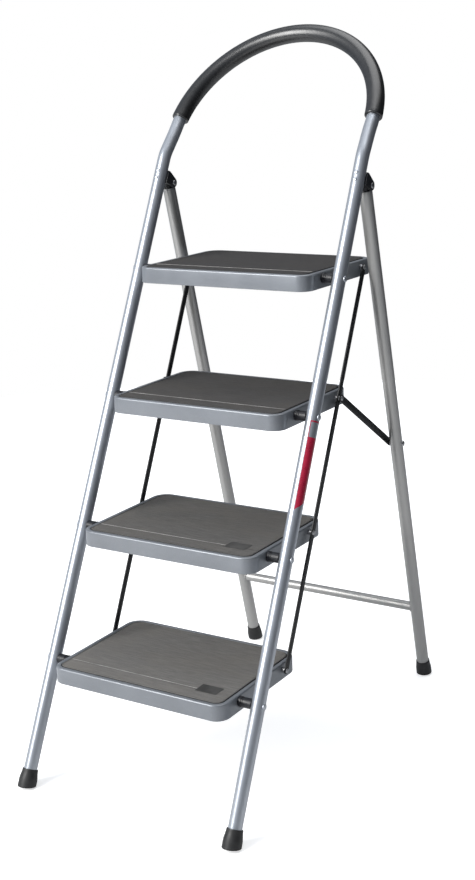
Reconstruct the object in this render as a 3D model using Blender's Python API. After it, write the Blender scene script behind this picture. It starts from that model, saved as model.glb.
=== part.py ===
"""Folding platform step ladder: four hinged treads between two stiles that run into one grab loop,
with a rear frame that folds in behind them.

Metres, +Z up. The ladder faces -Y, the ground is Z = 0 and X = 0 is the middle. Each side piece is
named left (-X) or right (+X). All joint axes run along X.
"""

import math

import bmesh
import bpy
from mathutils import Matrix, Vector

# Clearances
GAP = 0.0003  # between faces that rest on each other
BORE_CLEARANCE = 0.0003  # radial, between a pin and its hole

# Front frame
TUBE_RADIUS = 0.0125
TUBE_WALL = 0.0012
STILE_LEAN = math.radians(25.5)  # from upright, tops to the rear
STILE_SPLAY = 0.013  # wider centre to centre on the ground than at the bend under the grab loop
BEND_ABOVE_TOP_TREAD = 0.211
BEND_RADIUS = 0.100
BEND_SPREAD = 0.1  # share of the step out to the arch's width that the bend itself takes
LOOP_LEAN = math.radians(38.7)
LOOP_NECK = 0.066  # from the bend up to the foot of the arch
LOOP_INSET = 0.0033  # of the arch's foot inside the stile's line at the bend
LOOP_RISE = 0.219  # of the arch above its foot
GRIP_WALL = 0.0047
GRIP_HALF_LENGTH = 0.322  # along the tube, from the top of the arch

# Treads
TREAD_COUNT = 4
TREAD_SPACING = 0.230
FIRST_PIVOT_HEIGHT = 0.220
TREAD_WIDTH = 0.370
TREAD_FRONT = 0.058  # from the pivot to the front edge
TREAD_REAR = 0.207  # from the pivot to the rear edge
TREAD_HEIGHT = 0.030
TREAD_RISE = 0.0115  # of the rim above the pivot
TREAD_SHEET = 0.0012
TREAD_FRONT_CORNER = 0.025
TREAD_REAR_CORNER = 0.030
TREAD_EDGE_ROLL = 0.003
TREAD_LIP = 0.006  # turned in along the lower edge
TREAD_RIM = 0.0082  # flat rim around the mat
MAT_RECESS = 0.0015
MAT_THICKNESS = 0.0020
MAT_EDGE = 0.0003

# Tread hinges at the stiles
PIN_RADIUS = 0.0037
PIN_HEAD_RADIUS = 0.0056
PIN_HEAD_HEIGHT = 0.0018
PIN_SLEEVE_RADIUS = 0.0068
BUSH_RADIUS = 0.0078
BUSH_LENGTH = 0.0095

# Link bars behind the stiles
LINK_BEHIND_PIVOT = 0.148
LINK_COLLAR_LENGTH = 0.0065  # from the tread's side to the bar
LINK_BAR_WIDTH = 0.012
LINK_BAR_THICKNESS = 0.003
LINK_RIVET_RADIUS = 0.0027
LINK_RIVET_HEAD_RADIUS = 0.0046
LINK_RIVET_HEAD_HEIGHT = 0.0016
LINK_COLLAR_RADIUS = 0.0050

# Rear frame
BASE_DEPTH = 0.808  # from the stiles' centre line to the legs' on the ground
LEG_INSET = 0.012  # of each leg inside its stile on the ground
LEG_PIVOT_BELOW_BEND = 0.055
LEG_BEHIND_STILE = 0.005  # between the two tubes at the pivot, square to the stile
LEG_NECK_RADIUS = 0.0087
LEG_NECK_LENGTH = 0.010  # from the pivot down to the shoulder
LEG_SHOULDER = 0.003
CROSS_TUBE_RADIUS = 0.0095
CROSS_TUBE_HEIGHT = 0.166

# Hinge brackets
BRACKET_CHEEK = 0.0028  # on each side of the stile
BRACKET_FRONT = 0.004  # behind the stile's centre line
BRACKET_TOP_DEPTH = 0.010
BRACKET_ABOVE_PIVOT = 0.0155
BRACKET_NOSE_RADIUS = 0.0090
BRACKET_WEB = 0.0037  # behind the stile, in front of the leg's slot
LEG_PIN_RADIUS = 0.0030
LEG_PIN_HEAD_RADIUS = 0.0052
LEG_PIN_HEAD_HEIGHT = 0.0018
BRACKET_RIVET_OFFSETS = (-0.004, 0.010)  # along the stile from the pivot
BRACKET_RIVET_RADIUS = 0.0020
BRACKET_RIVET_HEAD_RADIUS = 0.0038
BRACKET_RIVET_HEAD_HEIGHT = 0.0014

# Fold and braces
BRACED_TREAD = 2  # the second tread from the top, counted from 0 at the bottom
TREAD_FOLD = math.radians(57.0)
LEG_FOLD = math.radians(38.0)
BRACE_BEHIND_LEG = 0.003  # of the bolt behind the leg's centre line
BRACE_BESIDE_LINK_BAR = 0.003
BRACE_THICKNESS = 0.0025
BRACE_WIDTH = 0.014
BRACE_BOLT_RADIUS = 0.0027
BRACE_BOLT_HEAD_RADIUS = 0.0058
BRACE_BOLT_HEAD_HEIGHT = 0.0026
BRACE_NUT_RADIUS = 0.00464
BRACE_NUT_HEIGHT = 0.0020
BRACE_SPACER_RADIUS = 0.0060
BRACE_SPACER_LENGTH = 0.0016
BRACE_RIVET_HEAD_HEIGHT = 0.0012
STILE_BESIDE_BRACE = 0.005

# Rubber feet
FRONT_FOOT_WALL = {"top": 0.0023, "sole": 0.0047}
REAR_FOOT_WALL = {"top": 0.0017, "sole": 0.0037}
FOOT_HEIGHT = 0.031  # along the tube
FOOT_FLOOR = 0.010  # from the ground to the tube's end, along the tube
FOOT_BAND = 0.014  # full sole radius up to here, along the tube
FOOT_RIM = 0.0010

# Mesh fineness
TUBE_SIDES = 16
PIN_SIDES = 10
CORNER_STEPS = 4
BEND_STEPS = 3
ARCH_STEPS = 24
DOME_ANGLES = (25, 50, 75)  # degrees, of the rings of a rounded tube end
HEAD_TOP_SHARE = 0.6  # of a head's radius that its flat top keeps
ROLL_SHARE = 0.3  # of an edge roll's radius, to its middle point
SMOOTH_ANGLE = math.radians(35)

SIDES = {"left": -1.0, "right": 1.0}


# Places that follow from the sizes

LINK_BAR_INNER = TREAD_WIDTH / 2 + LINK_COLLAR_LENGTH
LINK_BAR_OUTER = LINK_BAR_INNER + LINK_BAR_THICKNESS
BRACE_INNER = LINK_BAR_OUTER + BRACE_BESIDE_LINK_BAR
BRACE_OUTER = BRACE_INNER + BRACE_THICKNESS
STILE_SPACING_BEND = 2 * (BRACE_OUTER + STILE_BESIDE_BRACE + TUBE_RADIUS)
STILE_SPACING_FOOT = STILE_SPACING_BEND + STILE_SPLAY
LEG_SPACING_FOOT = STILE_SPACING_FOOT - 2 * LEG_INSET
LOOP_HALF_WIDTH = STILE_SPACING_BEND / 2 - LOOP_INSET
BEND_HEIGHT = FIRST_PIVOT_HEIGHT + (TREAD_COUNT - 1) * TREAD_SPACING + BEND_ABOVE_TOP_TREAD
LEG_PIVOT_HEIGHT = BEND_HEIGHT - LEG_PIVOT_BELOW_BEND
LEG_PIVOT_BEHIND_STILE = 2 * TUBE_RADIUS + LEG_BEHIND_STILE
GRIP_RADIUS = TUBE_RADIUS + GRIP_WALL
BRACKET_WIDTH = 2 * (TUBE_RADIUS + BRACKET_CHEEK)
BRACKET_SLOT_FRONT = TUBE_RADIUS + BRACKET_WEB
FRONT_FOOT = {key: TUBE_RADIUS + wall for key, wall in FRONT_FOOT_WALL.items()}
REAR_FOOT = {key: TUBE_RADIUS + wall for key, wall in REAR_FOOT_WALL.items()}
STILE_UP = Vector((0.0, math.sin(STILE_LEAN), math.cos(STILE_LEAN)))
STILE_BACK = Vector((0.0, math.cos(STILE_LEAN), -math.sin(STILE_LEAN)))


def turned(vector, angle):
    """A YZ vector turned about +X."""
    return Matrix.Rotation(angle, 3, "X") @ vector


def leg_lean():
    pivot_from_stile_foot = (
        LEG_PIVOT_HEIGHT * math.tan(STILE_LEAN) + LEG_PIVOT_BEHIND_STILE / math.cos(STILE_LEAN)
    )
    return math.atan2(BASE_DEPTH - pivot_from_stile_foot, LEG_PIVOT_HEIGHT)


def front_foot_y():
    """The stiles' centre line on the ground, with the ladder's footprint centred on Y = 0."""
    front_overhang = FRONT_FOOT["sole"] / math.cos(STILE_LEAN)
    rear_overhang = REAR_FOOT["sole"] / math.cos(leg_lean())
    return -(BASE_DEPTH + rear_overhang - front_overhang) / 2


FRONT_FOOT_Y = front_foot_y()
REAR_FOOT_Y = FRONT_FOOT_Y + BASE_DEPTH


def stile_x(height):
    share = height / BEND_HEIGHT
    return (STILE_SPACING_FOOT + (STILE_SPACING_BEND - STILE_SPACING_FOOT) * share) / 2


def stile_point(side, height):
    return Vector((side * stile_x(height), FRONT_FOOT_Y + height * math.tan(STILE_LEAN), height))


def tread_pivot(index):
    height = FIRST_PIVOT_HEIGHT + index * TREAD_SPACING
    return Vector((0.0, stile_point(1.0, height).y, height))


def link_pivot(index):
    return tread_pivot(index) + Vector((0.0, LINK_BEHIND_PIVOT, 0.0))


def leg_pivot():
    height_on_stile = LEG_PIVOT_HEIGHT + LEG_PIVOT_BEHIND_STILE * math.sin(STILE_LEAN)
    return stile_point(0.0, height_on_stile) + STILE_BACK * LEG_PIVOT_BEHIND_STILE


LEG_PIVOT = leg_pivot()
BRACKET_X = stile_x(LEG_PIVOT.z)
LEG_LENGTH = math.hypot(REAR_FOOT_Y - LEG_PIVOT.y, LEG_PIVOT.z)
LEG_DOWN = Vector((0.0, REAR_FOOT_Y - LEG_PIVOT.y, -LEG_PIVOT.z)) / LEG_LENGTH
LEG_BACK = Vector((0.0, -LEG_DOWN.z, LEG_DOWN.y))


def leg_point(side, distance):
    """A point on the leg's centre line, this far below its pivot."""
    share = distance / LEG_LENGTH
    x = BRACKET_X + (LEG_SPACING_FOOT / 2 - BRACKET_X) * share
    return Vector((side * x, 0.0, 0.0)) + LEG_PIVOT + LEG_DOWN * distance


def brace_bolt_distance():
    """How far down the leg the brace's bolt lies, so that the brace is as long open as folded."""
    tread = tread_pivot(BRACED_TREAD)
    link = link_pivot(BRACED_TREAD)
    link_folded = tread + turned(link - tread, TREAD_FOLD)
    down_folded = turned(LEG_DOWN, -LEG_FOLD)
    back_folded = turned(LEG_BACK, -LEG_FOLD)
    from_link = LEG_PIVOT + LEG_BACK * BRACE_BEHIND_LEG - link
    from_link_folded = LEG_PIVOT + back_folded * BRACE_BEHIND_LEG - link_folded
    difference = from_link.length_squared - from_link_folded.length_squared
    return difference / (2 * (down_folded.dot(from_link_folded) - LEG_DOWN.dot(from_link)))


BRACE_BOLT = LEG_PIVOT + LEG_DOWN * brace_bolt_distance() + LEG_BACK * BRACE_BEHIND_LEG


# Materials


def material(name, colour, roughness, metallic):
    made = bpy.data.materials.new(name)
    made.use_nodes = True
    shader = made.node_tree.nodes["Principled BSDF"]
    shader.inputs["Base Color"].default_value = (*colour, 1.0)
    shader.inputs["Roughness"].default_value = roughness
    shader.inputs["Metallic"].default_value = metallic
    made.diffuse_color = (*colour, 1.0)
    return made


def silver_paint(name):
    return material(name, (0.55, 0.58, 0.62), 0.30, 0.60)


def tread_paint(name):
    return material(name, (0.30, 0.32, 0.34), 0.42, 0.45)


def rivet_steel(name):
    return material(name, (0.70, 0.70, 0.70), 0.28, 1.0)


def black_plastic(name):
    return material(name, (0.014, 0.014, 0.016), 0.45, 0.0)


def black_paint(name):
    return material(name, (0.012, 0.012, 0.014), 0.35, 0.1)


def black_rubber(name):
    return material(name, (0.018, 0.018, 0.018), 0.80, 0.0)


def grip_foam(name):
    return material(name, (0.020, 0.020, 0.022), 0.70, 0.0)


def mat_rubber(name):
    return material(name, (0.090, 0.088, 0.085), 0.75, 0.0)


# Objects


def clear_scene():
    for old in list(bpy.data.objects):
        bpy.data.objects.remove(old, do_unlink=True)


def joint_empty(name, place):
    empty = bpy.data.objects.new(name, None)
    empty.location = place
    empty.empty_display_size = 0.03
    bpy.context.scene.collection.objects.link(empty)
    return empty


def add_object(name, mesh, make_material=None, parent=None):
    """Puts a mesh made in world coordinates under its joint's empty, where it stays in its place."""
    bmesh.ops.recalc_face_normals(mesh, faces=mesh.faces)
    data = bpy.data.meshes.new(name)
    mesh.to_mesh(data)
    mesh.free()
    if parent is not None:
        data.transform(Matrix.Translation(-Vector(parent.location)))
    obj = bpy.data.objects.new(name, data)
    bpy.context.scene.collection.objects.link(obj)
    obj.parent = parent
    if make_material is not None:
        data.materials.append(make_material(name))
    data.shade_smooth()
    data.set_sharp_from_angle(angle=SMOOTH_ANGLE)
    return obj


def cut(obj, cutter_mesh):
    """Takes the cutter's bodies out of the object."""
    cutter = add_object(obj.name + "_cutter", cutter_mesh, parent=obj.parent)
    cutter.hide_render = True
    cutter.display_type = "WIRE"
    modifier = obj.modifiers.new("cut", "BOOLEAN")
    modifier.operation = "DIFFERENCE"
    modifier.object = cutter


# Mesh building blocks


def ring(mesh, points):
    return [mesh.verts.new(point) for point in points]


def bridge(mesh, first, second):
    for i in range(len(first)):
        j = (i + 1) % len(first)
        mesh.faces.new((first[i], first[j], second[j], second[i]))


def circle(centre, along, radius, sides, start=None):
    """Points around a centre, square to a direction, starting towards a reference."""
    along = along.normalized()
    reference = start if start is not None else Vector((0.0, 0.0, 1.0))
    across = (reference - along * reference.dot(along)).normalized()
    up = along.cross(across)
    angles = [2 * math.pi * i / sides for i in range(sides)]
    return [centre + (across * math.cos(a) + up * math.sin(a)) * radius for a in angles]


def lathe(mesh, centre, along, profile, sides=PIN_SIDES, start=None):
    """Turns a profile of (distance, radius) about a line, open at both ends."""
    along = along.normalized()
    rings = [
        ring(mesh, circle(centre + along * distance, along, radius, sides, start))
        for distance, radius in profile
    ]
    for first, second in zip(rings, rings[1:]):
        bridge(mesh, first, second)
    return rings


def solid_turning(mesh, centre, along, profile, sides=PIN_SIDES, start=None):
    rings = lathe(mesh, centre, along, profile, sides, start)
    mesh.faces.new(rings[0])
    mesh.faces.new(rings[-1])


def ring_turning(mesh, centre, along, profile, sides=PIN_SIDES, start=None):
    rings = lathe(mesh, centre, along, profile, sides, start)
    bridge(mesh, rings[-1], rings[0])


def rod(mesh, start_point, end_point, radius, sides=PIN_SIDES):
    along = end_point - start_point
    solid_turning(mesh, start_point, along, [(0.0, radius), (along.length, radius)], sides)


def path_directions(path):
    steps = [(b - a).normalized() for a, b in zip(path, path[1:])]
    middles = [(a + b).normalized() for a, b in zip(steps, steps[1:])]
    return [steps[0], *middles, steps[-1]]


def hollow_sweep(mesh, path, outer, inner, sides=TUBE_SIDES):
    """A tube along a path, open at both ends, with its start direction carried along."""
    directions = path_directions(path)
    reference = Vector((0.0, 1.0, 0.0))
    walls = ([], [])
    for point, along in zip(path, directions):
        reference = (reference - along * reference.dot(along)).normalized()
        walls[0].append(ring(mesh, circle(point, along, outer, sides, reference)))
        walls[1].append(ring(mesh, circle(point, along, inner, sides, reference)))
    for wall in walls:
        for first, second in zip(wall, wall[1:]):
            bridge(mesh, first, second)
    bridge(mesh, walls[0][0], walls[1][0])
    bridge(mesh, walls[0][-1], walls[1][-1])


def extrusion(mesh, outline, offset):
    """A closed outline pushed straight along an offset."""
    first = ring(mesh, outline)
    second = ring(mesh, [point + offset for point in outline])
    bridge(mesh, first, second)
    mesh.faces.new(first)
    mesh.faces.new(second)


def head(at, height, radius, outward):
    """Profile of a cone-sided, flat-topped head on a face at this distance along its axis."""
    return [(at, radius), (at + outward * height, radius * HEAD_TOP_SHARE)]


# Paths


def loop_frame_point(x, along_loop):
    bend = stile_point(0.0, BEND_HEIGHT)
    up = Vector((0.0, math.sin(LOOP_LEAN), math.cos(LOOP_LEAN)))
    return bend + up * along_loop + Vector((x, 0.0, 0.0))


def bend_points(side):
    """The tube's bend from the stile's lean to the loop's, as an arc between their two lines."""
    turn = LOOP_LEAN - STILE_LEAN
    reach = BEND_RADIUS * math.tan(turn / 2)
    start = stile_point(0.0, BEND_HEIGHT) - STILE_UP * reach
    points = []
    for i in range(BEND_STEPS + 1):
        angle = turn * i / BEND_STEPS
        forward = STILE_UP * math.sin(angle) + STILE_BACK * (1 - math.cos(angle))
        points.append(start + forward * BEND_RADIUS)
    x_start = stile_x(BEND_HEIGHT)
    for i, point in enumerate(points):
        point.x = side * (x_start + (LOOP_HALF_WIDTH - x_start) * BEND_SPREAD * i / BEND_STEPS)
    return points


def arch_points():
    """Half an ellipse from the right side over the top to the left."""
    angles = [math.pi * i / ARCH_STEPS for i in range(ARCH_STEPS + 1)]
    return [
        loop_frame_point(LOOP_HALF_WIDTH * math.cos(a), LOOP_NECK + LOOP_RISE * math.sin(a))
        for a in angles
    ]


def frame_path():
    lowest = FOOT_FLOOR * math.cos(STILE_LEAN)
    right = [stile_point(1.0, lowest), *bend_points(1.0)]
    left = [*reversed(bend_points(-1.0)), stile_point(-1.0, lowest)]
    return right + arch_points() + left


def grip_path():
    """The stretch of the loop that the grip covers, cut to its length on each side of the top."""
    path = arch_points()
    middle = len(path) // 2
    half = [path[middle]]
    travelled = 0.0
    for here, following in zip(path[middle:], path[middle + 1:]):
        step = (following - here).length
        left_over = GRIP_HALF_LENGTH - travelled
        if step >= left_over:
            half.append(here + (following - here) * left_over / step)
            break
        half.append(following)
        travelled += step
    mirrored = [Vector((-p.x, p.y, p.z)) for p in reversed(half[1:])]
    return mirrored + half


# Holes that the pins need


def tread_pin_hole(mesh, side, index, radius):
    centre = tread_pivot(index)
    start = centre + Vector((side * TREAD_WIDTH / 4, 0, 0))
    end = centre + Vector((side * (stile_x(centre.z) + 2 * TUBE_RADIUS), 0, 0))
    rod(mesh, start, end, radius)


def bracket_rivet_centre(side, offset):
    along = STILE_UP * offset
    point = LEG_PIVOT - STILE_BACK * LEG_PIVOT_BEHIND_STILE + along
    return Vector((side * stile_x(point.z), point.y, point.z))


def bracket_rivet_holes(mesh, side):
    for offset in BRACKET_RIVET_OFFSETS:
        centre = bracket_rivet_centre(side, offset)
        reach = STILE_BACK * 2 * TUBE_RADIUS
        rod(mesh, centre - reach, centre + reach, BRACKET_RIVET_RADIUS + BORE_CLEARANCE)


# Front frame pieces


def make_front_frame_tube():
    mesh = bmesh.new()
    hollow_sweep(mesh, frame_path(), TUBE_RADIUS, TUBE_RADIUS - TUBE_WALL)
    tube = add_object("front_frame_tube", mesh, silver_paint)
    holes = bmesh.new()
    for side in SIDES.values():
        for index in range(TREAD_COUNT):
            tread_pin_hole(holes, side, index, PIN_RADIUS + BORE_CLEARANCE)
        bracket_rivet_holes(holes, side)
    cut(tube, holes)


def make_handle_grip():
    mesh = bmesh.new()
    hollow_sweep(mesh, grip_path(), GRIP_RADIUS, TUBE_RADIUS + GAP)
    add_object("handle_grip", mesh, grip_foam)


def foot_mesh(ground_point, up, size):
    """A cup around the tube's end, turned about the tube's line and cut level at the ground."""
    below = size["sole"]
    bore = TUBE_RADIUS + GAP
    outer = [(-below, size["sole"]), (FOOT_BAND, size["sole"]), (FOOT_HEIGHT - FOOT_RIM, size["top"])]
    rim = [(FOOT_HEIGHT, size["top"] - FOOT_RIM), (FOOT_HEIGHT, bore)]
    mesh = bmesh.new()
    rings = lathe(mesh, ground_point, up, [*outer, *rim, (FOOT_FLOOR - GAP, bore)], TUBE_SIDES)
    mesh.faces.new(rings[0])
    mesh.faces.new(rings[-1])
    everything = mesh.verts[:] + mesh.edges[:] + mesh.faces[:]
    level = Vector((0.0, 0.0, 1.0))
    bmesh.ops.bisect_plane(mesh, geom=everything, plane_co=Vector(), plane_no=level, clear_inner=True)
    bmesh.ops.holes_fill(mesh, edges=[edge for edge in mesh.edges if edge.is_boundary])
    return mesh


def make_front_feet():
    for label, side in SIDES.items():
        ground = stile_point(side, 0.0)
        up = stile_point(side, BEND_HEIGHT) - ground
        add_object("front_foot_" + label, foot_mesh(ground, up, FRONT_FOOT), black_rubber)


def make_tread_pins():
    """Each pin: a head outside the stile, a sleeve between stile and bush, and a head inside the tread."""
    for label, side in SIDES.items():
        for index in range(TREAD_COUNT):
            centre = tread_pivot(index)
            stile = stile_x(centre.z)
            flange_inside = TREAD_WIDTH / 2 - TREAD_SHEET - GAP
            sleeve_start = TREAD_WIDTH / 2 + GAP + BUSH_LENGTH + GAP
            sleeve_end = stile - TUBE_RADIUS - GAP
            outside = stile + TUBE_RADIUS + GAP
            inner_head = head(flange_inside, PIN_HEAD_HEIGHT, PIN_HEAD_RADIUS, -1.0)[::-1]
            shank = [(flange_inside, PIN_RADIUS), (sleeve_start, PIN_RADIUS)]
            sleeve = [(sleeve_start, PIN_SLEEVE_RADIUS), (sleeve_end, PIN_SLEEVE_RADIUS)]
            shaft = [(sleeve_end, PIN_RADIUS), (outside, PIN_RADIUS)]
            outer_head = head(outside, PIN_HEAD_HEIGHT, PIN_HEAD_RADIUS, 1.0)
            mesh = bmesh.new()
            profile = inner_head + shank + sleeve + shaft + outer_head
            solid_turning(mesh, centre, Vector((side, 0, 0)), profile)
            add_object(f"tread_pin_{index + 1}_{label}", mesh, rivet_steel)


def make_bushes():
    for label, side in SIDES.items():
        for index in range(TREAD_COUNT):
            inner = PIN_RADIUS + BORE_CLEARANCE
            start = TREAD_WIDTH / 2 + GAP
            end = start + BUSH_LENGTH
            profile = [(start, inner), (start, BUSH_RADIUS), (end, BUSH_RADIUS), (end, inner)]
            mesh = bmesh.new()
            ring_turning(mesh, tread_pivot(index), Vector((side, 0, 0)), profile)
            add_object(f"tread_bush_{index + 1}_{label}", mesh, black_plastic)


# Hinge brackets


def bracket_outline(x):
    """Side view of the bracket: along the stile, over a sloping top, round the nose, back underneath."""

    def at(behind, along):
        stile_line = LEG_PIVOT - STILE_BACK * LEG_PIVOT_BEHIND_STILE
        return stile_line + STILE_BACK * behind + STILE_UP * along + Vector((x, 0, 0))

    nose = BRACKET_NOSE_RADIUS
    to_corner_back = BRACKET_TOP_DEPTH - LEG_PIVOT_BEHIND_STILE
    to_corner = math.hypot(to_corner_back, BRACKET_ABOVE_PIVOT)
    tangent = math.atan2(BRACKET_ABOVE_PIVOT, to_corner_back) - math.acos(nose / to_corner)
    lowest = -math.pi / 2
    steps = 2 * CORNER_STEPS
    turns = [tangent + (lowest - tangent) * i / steps for i in range(steps + 1)]
    arc = [
        at(LEG_PIVOT_BEHIND_STILE + nose * math.cos(a), nose * math.sin(a))
        for a in turns
    ]
    top = [at(BRACKET_FRONT, BRACKET_ABOVE_PIVOT), at(BRACKET_TOP_DEPTH, BRACKET_ABOVE_PIVOT)]
    return [*top, *arc, at(BRACKET_FRONT, -nose)]


def bracket_slot(mesh, side):
    """The slot that the leg's neck swings in, open to the top, rear and bottom."""
    half = LEG_NECK_RADIUS + 2 * GAP
    stile_line = LEG_PIVOT - STILE_BACK * LEG_PIVOT_BEHIND_STILE
    corner = stile_line + STILE_BACK * BRACKET_SLOT_FRONT + Vector((side * BRACKET_X - half, 0, 0))
    deep = STILE_BACK * 2 * LEG_PIVOT_BEHIND_STILE
    tall = STILE_UP * 2 * LEG_PIVOT_BEHIND_STILE
    outline = [corner - tall, corner - tall + deep, corner + tall + deep, corner + tall]
    extrusion(mesh, outline, Vector((2 * half, 0, 0)))


def make_brackets():
    for label, side in SIDES.items():
        mesh = bmesh.new()
        outline = bracket_outline(side * BRACKET_X - BRACKET_WIDTH / 2)
        extrusion(mesh, outline, Vector((BRACKET_WIDTH, 0, 0)))
        bracket = add_object("hinge_bracket_" + label, mesh, black_plastic)
        stile_room = bmesh.new()
        low = stile_point(side, LEG_PIVOT.z - 2 * LEG_PIVOT_BEHIND_STILE)
        high = stile_point(side, LEG_PIVOT.z + 2 * LEG_PIVOT_BEHIND_STILE)
        rod(stile_room, low, high, TUBE_RADIUS + GAP, 2 * TUBE_SIDES)
        cut(bracket, stile_room)
        slot = bmesh.new()
        bracket_slot(slot, side)
        cut(bracket, slot)
        holes = bmesh.new()
        centre = LEG_PIVOT + Vector((side * BRACKET_X, 0, 0))
        reach = Vector((BRACKET_WIDTH, 0, 0))
        rod(holes, centre - reach, centre + reach, LEG_PIN_RADIUS + BORE_CLEARANCE)
        bracket_rivet_holes(holes, side)
        cut(bracket, holes)


def make_bracket_rivets():
    """Rivets from the stile's front face through to the bracket's web."""
    front = -TUBE_RADIUS - GAP
    web = BRACKET_SLOT_FRONT + GAP
    for label, side in SIDES.items():
        for number, offset in enumerate(BRACKET_RIVET_OFFSETS, start=1):
            front_head = head(front, BRACKET_RIVET_HEAD_HEIGHT, BRACKET_RIVET_HEAD_RADIUS, -1.0)[::-1]
            tail = head(web, BRACKET_RIVET_HEAD_HEIGHT, BRACKET_RIVET_HEAD_RADIUS, 1.0)
            shaft = [(front, BRACKET_RIVET_RADIUS), (web, BRACKET_RIVET_RADIUS)]
            mesh = bmesh.new()
            centre = bracket_rivet_centre(side, offset)
            solid_turning(mesh, centre, STILE_BACK, front_head + shaft + tail, start=Vector((1, 0, 0)))
            add_object(f"bracket_rivet_{number}_{label}", mesh, rivet_steel)


def make_leg_pins():
    for label, side in SIDES.items():
        half = BRACKET_WIDTH / 2 + GAP
        inner_head = head(-half, LEG_PIN_HEAD_HEIGHT, LEG_PIN_HEAD_RADIUS, -1.0)[::-1]
        outer_head = head(half, LEG_PIN_HEAD_HEIGHT, LEG_PIN_HEAD_RADIUS, 1.0)
        shaft = [(-half, LEG_PIN_RADIUS), (half, LEG_PIN_RADIUS)]
        mesh = bmesh.new()
        centre = LEG_PIVOT + Vector((side * BRACKET_X, 0, 0))
        solid_turning(mesh, centre, Vector((side, 0, 0)), inner_head + shaft + outer_head)
        add_object("leg_pin_" + label, mesh, rivet_steel)


# Rear frame pieces


def leg_profile(radius_loss):
    """Wall profile from the foot up: full tube, shoulder, neck and a domed end around the pivot."""
    neck = LEG_NECK_RADIUS - radius_loss
    full = TUBE_RADIUS - radius_loss
    foot_end = LEG_LENGTH - FOOT_FLOOR
    shoulder = [(LEG_NECK_LENGTH + LEG_SHOULDER, full), (LEG_NECK_LENGTH, neck)]
    turns = [math.radians(angle) for angle in DOME_ANGLES]
    dome = [(-neck * math.sin(a), neck * math.cos(a)) for a in turns]
    return [(foot_end, full), *shoulder, (0.0, neck), *dome]


def make_rear_legs(fold):
    for label, side in SIDES.items():
        along = leg_point(side, LEG_LENGTH) - leg_point(side, 0.0)
        stretch = along.length / LEG_LENGTH
        outer = [(d * stretch, r) for d, r in leg_profile(0.0)]
        inner = [(d * stretch, r) for d, r in leg_profile(TUBE_WALL)]
        mesh = bmesh.new()
        outer_rings = lathe(mesh, leg_point(side, 0.0), along, outer, TUBE_SIDES)
        inner_rings = lathe(mesh, leg_point(side, 0.0), along, inner, TUBE_SIDES)
        bridge(mesh, outer_rings[0], inner_rings[0])
        mesh.faces.new(outer_rings[-1])
        mesh.faces.new(inner_rings[-1])
        leg = add_object("rear_leg_" + label, mesh, silver_paint, fold)
        holes = bmesh.new()
        pivot = LEG_PIVOT + Vector((side * BRACKET_X, 0, 0))
        reach = Vector((2 * TUBE_RADIUS, 0, 0))
        rod(holes, pivot - reach, pivot + reach, LEG_PIN_RADIUS + BORE_CLEARANCE)
        bolt = BRACE_BOLT + Vector((leg_point(side, brace_bolt_distance()).x, 0, 0))
        rod(holes, bolt - reach, bolt + reach, BRACE_BOLT_RADIUS + BORE_CLEARANCE)
        cut(leg, holes)


def make_cross_tube(fold):
    distance = (LEG_PIVOT.z - CROSS_TUBE_HEIGHT) / -LEG_DOWN.z
    ends = [leg_point(side, distance) for side in SIDES.values()]
    mesh = bmesh.new()
    hollow_sweep(mesh, ends, CROSS_TUBE_RADIUS, CROSS_TUBE_RADIUS - TUBE_WALL)
    tube = add_object("rear_cross_tube", mesh, silver_paint, fold)
    legs = bmesh.new()
    reach = 3 * CROSS_TUBE_RADIUS
    for side in SIDES.values():
        above = leg_point(side, distance - reach)
        below = leg_point(side, distance + reach)
        rod(legs, above, below, TUBE_RADIUS + GAP, 2 * TUBE_SIDES)
    cut(tube, legs)


def make_rear_feet(fold):
    for label, side in SIDES.items():
        ground = leg_point(side, LEG_LENGTH)
        up = leg_point(side, 0.0) - ground
        add_object("rear_foot_" + label, foot_mesh(ground, up, REAR_FOOT), black_rubber, fold)


def make_brace_bolts(fold):
    """Through bolts: head outside the leg, nut inside the brace."""
    for label, side in SIDES.items():
        leg_x = abs(leg_point(side, brace_bolt_distance()).x)
        outside = leg_x + TUBE_RADIUS + GAP
        nut = BRACE_INNER - GAP
        nut_end = [(nut - BRACE_NUT_HEIGHT, BRACE_NUT_RADIUS), (nut, BRACE_NUT_RADIUS)]
        shaft = [(nut, BRACE_BOLT_RADIUS), (outside, BRACE_BOLT_RADIUS)]
        bolt_head = head(outside, BRACE_BOLT_HEAD_HEIGHT, BRACE_BOLT_HEAD_RADIUS, 1.0)
        mesh = bmesh.new()
        solid_turning(mesh, BRACE_BOLT, Vector((side, 0, 0)), nut_end + shaft + bolt_head)
        add_object("brace_bolt_" + label, mesh, rivet_steel, fold)


def make_brace_spacers(fold):
    start = BRACE_OUTER + GAP
    bore = BRACE_BOLT_RADIUS + BORE_CLEARANCE
    for label, side in SIDES.items():
        end = start + BRACE_SPACER_LENGTH
        profile = [(start, bore), (start, BRACE_SPACER_RADIUS), (end, BRACE_SPACER_RADIUS), (end, bore)]
        mesh = bmesh.new()
        ring_turning(mesh, BRACE_BOLT, Vector((side, 0, 0)), profile)
        add_object("brace_spacer_" + label, mesh, rivet_steel, fold)


# Treads


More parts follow.
